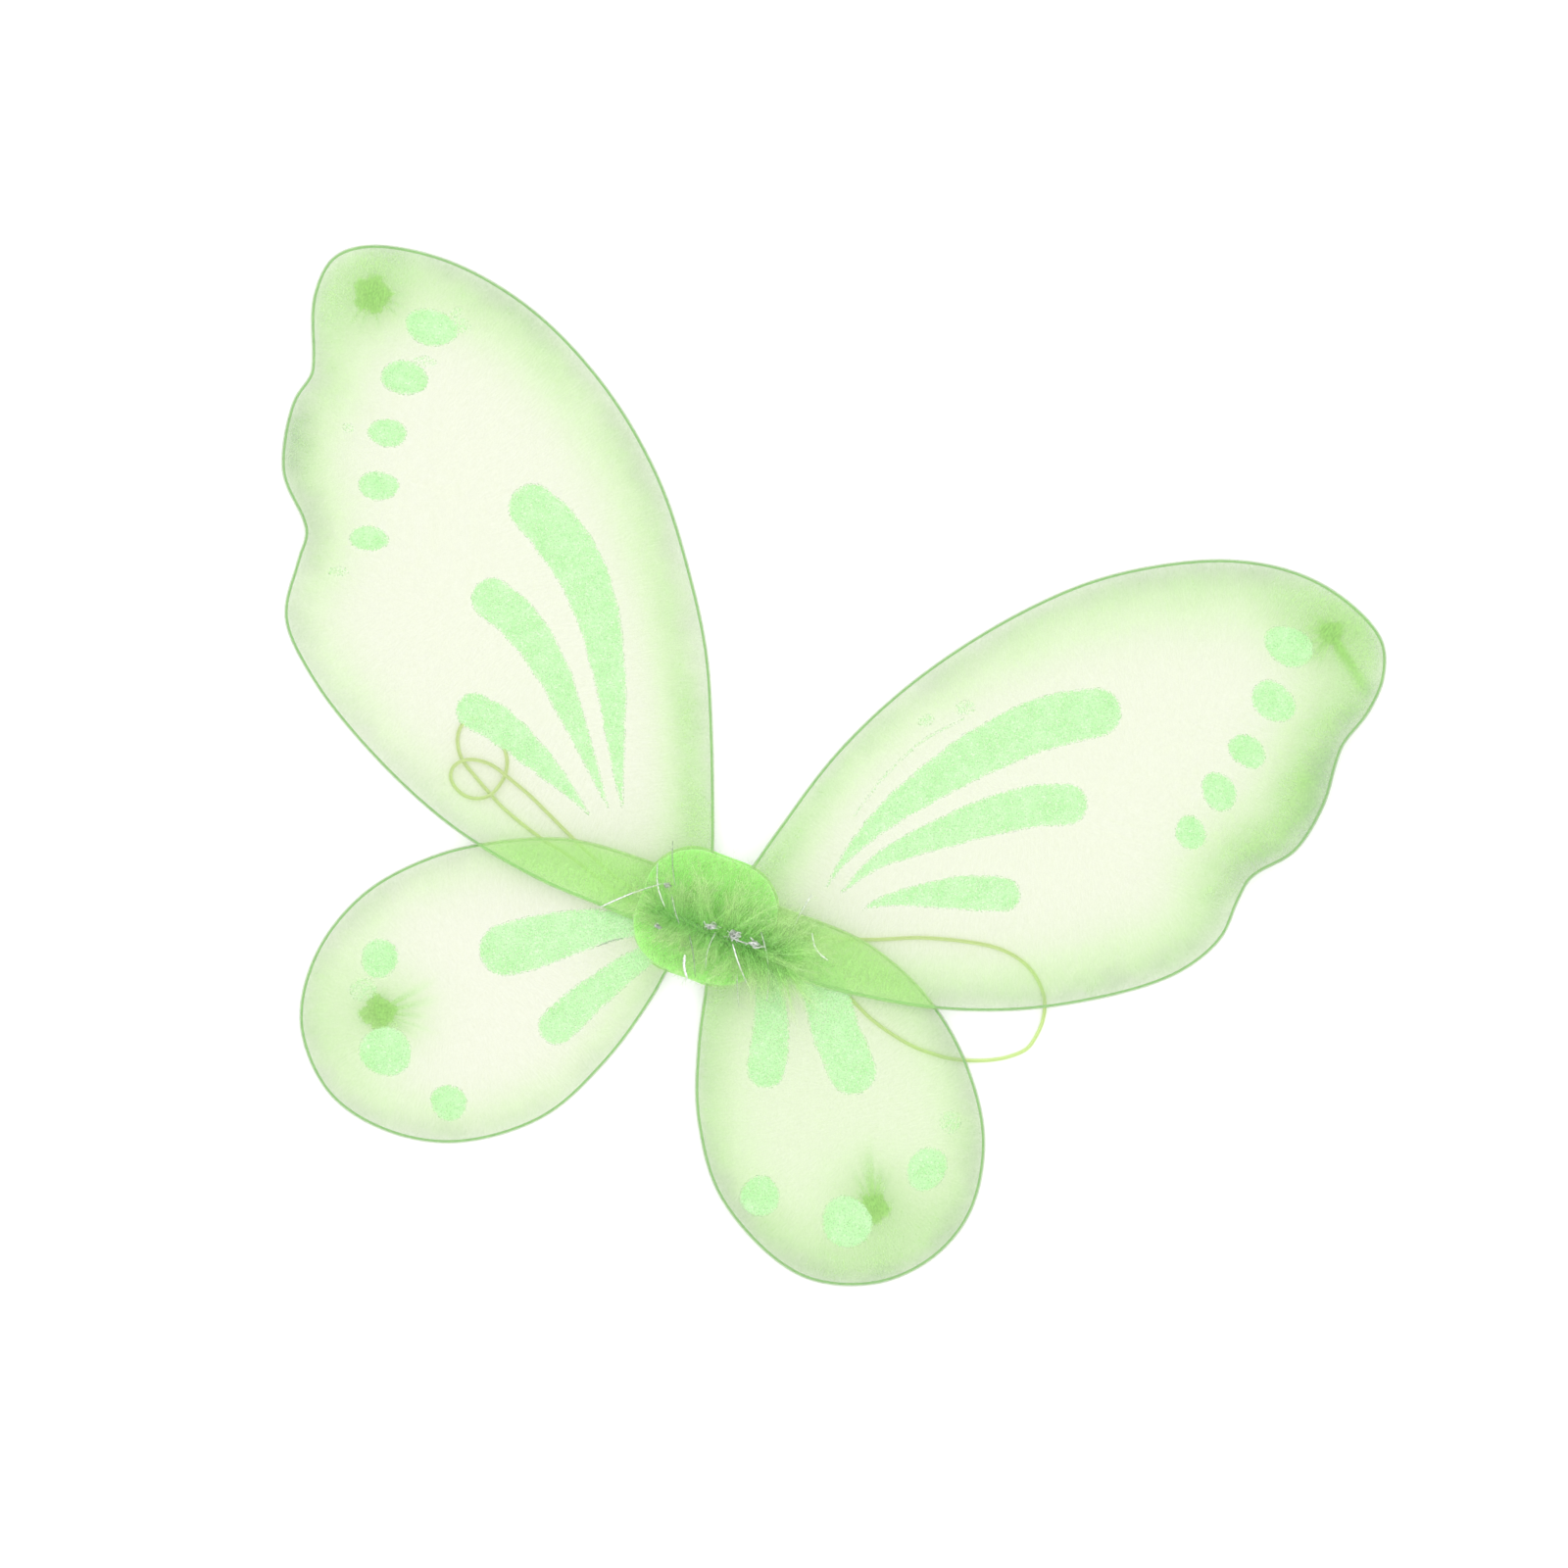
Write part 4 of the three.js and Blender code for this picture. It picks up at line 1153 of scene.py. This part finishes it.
def barbules(rng, barbs):
    """Fine hairs along both sides of each barb."""
    n, k = barbs.shape[:2]
    at = np.linspace(0.06, 0.99, BARBULES_A_SIDE)
    at = np.clip(at[None] + rng.normal(0, 0.02, (n, BARBULES_A_SIDE)), 0.02, 0.995)
    spot = at * (k - 1)
    low = np.minimum(spot.astype(int), k - 2)
    part = (spot - low)[..., None]
    rows = np.arange(n)[:, None]
    root = barbs[rows, low] * (1 - part) + barbs[rows, low + 1] * part
    along = unit(barbs[rows, low + 1] - barbs[rows, low])
    side = unit(np.cross(along, UP + rng.normal(0, 0.35, along.shape)))
    hairs = []
    for way in (-1, 1):
        out = unit(0.75 * along + way * 0.7 * side + rng.normal(0, 0.28, along.shape))
        long = rng.uniform(*BARBULE_LENGTH, at.shape)[..., None] * (1.1 - 0.4 * at[..., None])
        middle = root + 0.55 * long * out
        tip = root + long * unit(out + 0.5 * along + rng.normal(0, 0.2, along.shape))
        hair = np.stack([root, middle, tip], axis=2)
        hairs.append(hair.reshape(-1, 3, 3))
    hairs = np.concatenate(hairs)
    hairs[..., 2] = np.maximum(hairs[..., 2], ground(hairs) + 0.1)
    return hairs, np.tile(at.ravel(), 2)


def down_piece(name, rng, barbs):
    """Barbs with their barbules as one piece, darker at the core and lighter at the tips."""
    n, k = barbs.shape[:2]
    hairs, reach = barbules(rng, barbs)
    side_way = unit(np.array(HAIR_SIDE))
    thick = BARB_RADIUS * np.linspace(1, 0.35, k)
    barb_mesh = tubes(barbs, thick[None], 3, side_way)
    hair_mesh = tubes(hairs, np.array([BARBULE_RADII]), 3, side_way)
    tone = np.clip(0.5 + 0.45 * waves(barbs[:, -1], 5, 3) + rng.normal(0, 0.15, n), 0, 1)
    barb_reach = np.broadcast_to(np.linspace(0, 1, k)[None, :, None], (n, k, 3)).ravel()
    hair_reach = np.repeat(np.clip(reach + 0.12, 0, 1), 9)
    hair_tone = np.repeat(np.concatenate([np.repeat(tone, BARBULES_A_SIDE)] * 2), 9)
    points, faces, _ = joined([barb_mesh, hair_mesh])
    return piece(
        name, points, faces, DOWN, "down",
        reach=np.concatenate([barb_reach, hair_reach]),
        tone=np.concatenate([np.repeat(tone, 3 * k), hair_tone]),
    )


def marabou(wings):
    """The boa's down: two rows on the hub, and the wisps that lie past a fold line."""
    rng = np.random.default_rng(11)
    made = []
    wisps = {wing.name: [] for wing in wings}
    for side, name in ((1, "marabou_upper_row"), (-1, "marabou_lower_row")):
        barbs = barb_paths(rng, BARBS_IN_ROW, side)
        kept = np.ones(len(barbs), bool)
        for wing in wings:
            past = wing.beyond_fold(barbs).max(1) > -1.5
            past &= kept & (wing.name.startswith("upper") == (side > 0))
            wisps[wing.name].append(barbs[past])
            kept &= ~past
        made.append(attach(down_piece(name, rng, barbs[kept]), "hub"))
    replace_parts(made[0], "marabou_plume")
    for wing in wings:
        barbs = np.concatenate(wisps[wing.name])
        if len(barbs):
            made.append(wing.bend(down_piece(f"{wing.name}_wisps", rng, barbs)))
    return made


def boa_cord():
    """The two-ply cord that the down is twisted into."""
    low, high = box("boa_core")
    height = (low[2] + high[2]) / 2
    line = smooth_curve([(x, y, height) for x, y in CORE], 0.5)
    turn = np.linspace(0, 2 * math.pi * CORD_LAY, len(line))
    plies = []
    for phase in (0, math.pi):
        ply = line.copy()
        ply[:, 1] += 0.5 * np.cos(turn + phase)
        ply[:, 2] += 0.5 * np.sin(turn + phase)
        plies.append(ply)
    made = tube_piece("boa_core_cord", np.array(plies), 0.55, 8, BOA_CORD, "thread")
    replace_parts(made, "boa_core")
    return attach(made, "hub")


# ---- Tinsel ----


def on_the_down(plan):
    """The height at which a strip of tinsel lies on the down."""
    off = (plan - PLUME_CENTRE[:2]) / (PLUME_HALF[:2] * 1.02)
    dome = DOWN_DOME * np.sqrt(np.clip(1 - (off ** 2).sum(-1), 0, 1))
    return ground(plan) + 1.0 + dome


def tinsel_strip(rng, start, end, width):
    """A strip of film from one place to another, bowed, tapered and a little twisted."""
    t = np.linspace(0, 1, 14)[:, None]
    start, end = np.array(start, float), np.array(end, float)
    run = end - start
    side = np.array([-run[1], run[0]]) / lengths(run)
    plan = start + t * run + STRIP_BOW * rng.normal() * np.sin(math.pi * t) * side
    path = np.column_stack([plan, on_the_down(plan)])
    taper = 0.38 * width * np.interp(t[:, 0], (0, 0.15, 0.8, 1), (0.6, 1, 1, 0.35))
    twist = rng.uniform(-0.4, 0.4) + rng.uniform(-0.8, 0.8) * t[:, 0]
    return tubes(path[None], taper[None], 4, np.append(side, 0), flat=0.07, twist=twist[None])


def crumple(rng, x, y, size):
    """A crushed knot of tinsel, drawn out along the core."""
    strips = []
    centre = np.array([x, y, on_the_down(np.array([x, y])) + 0.2])
    for _ in range(CRUMPLE_STRIPS):
        way = rng.normal(size=(6, 3)) * size * (0.26, 0.15, 0.1)
        path = np.cumsum(way, axis=0)
        path = centre + path - 0.9 * path.mean(0)
        path[:, 2] = np.maximum(path[:, 2], centre[2] - 1.2)
        line = smooth_curve(path, 0.6)
        twist = np.linspace(0, rng.uniform(2, 6), len(line))[None]
        strips.append(tubes(line[None], 0.3, 4, HAIR_SIDE, flat=0.14, twist=twist))
    return strips


def tinsel(wings):
    """The garland's strips: those on the hub as one piece, and those past an upper wing's fold line
    as a piece named for that wing.
    """
    rng = np.random.default_rng(5)
    groups = {"hub": []}
    upper = [w for w in wings if w.name.startswith("upper")]
    for start, end, width, dark in TINSEL:
        mesh = tinsel_strip(rng, start, end, width)
        past = [w for w in upper if w.beyond_fold(np.array([start, end])).max() > -1]
        groups.setdefault(past[0].name if past else "hub", []).append((mesh, dark))
    for x, y, size in CRUMPLES:
        groups["hub"] += [(mesh, rng.uniform(0.1, 0.7)) for mesh in crumple(rng, x, y, size)]
    for owner, members in groups.items():
        points, faces, place = joined([mesh for mesh, _ in members])
        dark = np.concatenate([np.full(len(mesh[0]), shade) for mesh, shade in members])
        made = piece(f"tinsel_{owner}", points, faces, FILM, "tinsel", dark=dark, place=place)
        if owner == "hub":
            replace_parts(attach(made, "hub"), "tinsel_garland")
        else:
            next(w for w in wings if w.name == owner).bend(made)


# ---- Stage ----

CAMERA_HEIGHT = 2.5
OBJECT_PLANE = 0.008
VIEW_WIDTH = 0.640  # of the object's plane, across the picture
VIEW_CENTRE = (0.0110, 0.0621)
VIEW_ROLL = 20.4
SENSOR = 36.0
FLOOR_WIDTH, FLOOR_GREY = 12, 0.93
SKY_STRENGTH = 1.15


def camera():
    """The camera looks straight down, turned about its axis as the object lies in the picture."""
    data = bpy.data.cameras.new("camera")
    data.sensor_width = SENSOR
    data.lens = SENSOR * (CAMERA_HEIGHT - OBJECT_PLANE) / VIEW_WIDTH
    data.clip_end = 50
    made = linked("camera", data)
    made.location = (*VIEW_CENTRE, CAMERA_HEIGHT)
    made.rotation_euler = (0, 0, math.radians(VIEW_ROLL))
    bpy.context.scene.camera = made


def softbox(name, place, size, power):
    data = bpy.data.lights.new(name, "AREA")
    data.size, data.energy = size, power
    made = linked(name, data)
    made.location = place
    made.rotation_euler = (-Vector(place)).to_track_quat("-Z", "Y").to_euler()


def studio():
    """A pale floor under a bright even sky, with a softbox on each side."""
    half = FLOOR_WIDTH / 2
    s = Shader("pale_floor", Roughness=0.9)
    s.set("Base Color", (FLOOR_GREY, FLOOR_GREY, FLOOR_GREY, 1))
    mesh = bpy.data.meshes.new("floor")
    corners = [(-half, -half, 0), (half, -half, 0), (half, half, 0), (-half, half, 0)]
    mesh.from_pydata(corners, [], [(0, 1, 2, 3)])
    mesh.materials.append(s.material)
    linked("floor", mesh)
    world = bpy.data.worlds.new("studio")
    world.use_nodes = True
    sky = world.node_tree.nodes["Background"].inputs
    sky["Color"].default_value = (1, 1, 1, 1)
    sky["Strength"].default_value = SKY_STRENGTH
    bpy.context.scene.world = world
    softbox("key_softbox", place=(-0.7, 0.8, 2.2), size=2.0, power=13)
    softbox("fill_softbox", place=(1.2, -0.6, 1.9), size=2.0, power=8)
    bpy.context.scene.view_settings.view_transform = "Standard"
    bpy.context.scene.cycles.transparent_max_bounces = 32


# ---- Assembly ----

camera()
studio()
for name in STRAPS:
    strap(name)

wings = [Wing(name) for name in WINGS]
for wing in wings:
    row, side = wing.name.split("_")
    other_name = f"{'lower' if row == 'upper' else 'upper'}_{side}"
    other = next(w for w in wings if w.name == other_name)
    frame_wire(wing)
    nylon = stocking(wing, other)
    prints(wing)
    gathered_tuft(wing)
    tie(wing)

felt_pad("back_pad", 3)
felt_pad("front_pad", 4)
lashing()
for node in ("back_glue_bed", "front_glue_bed"):
    frame["nodes"][node].data.materials[0] = GLUE
boa_cord()
underdown()
marabou(wings)
tinsel(wings)
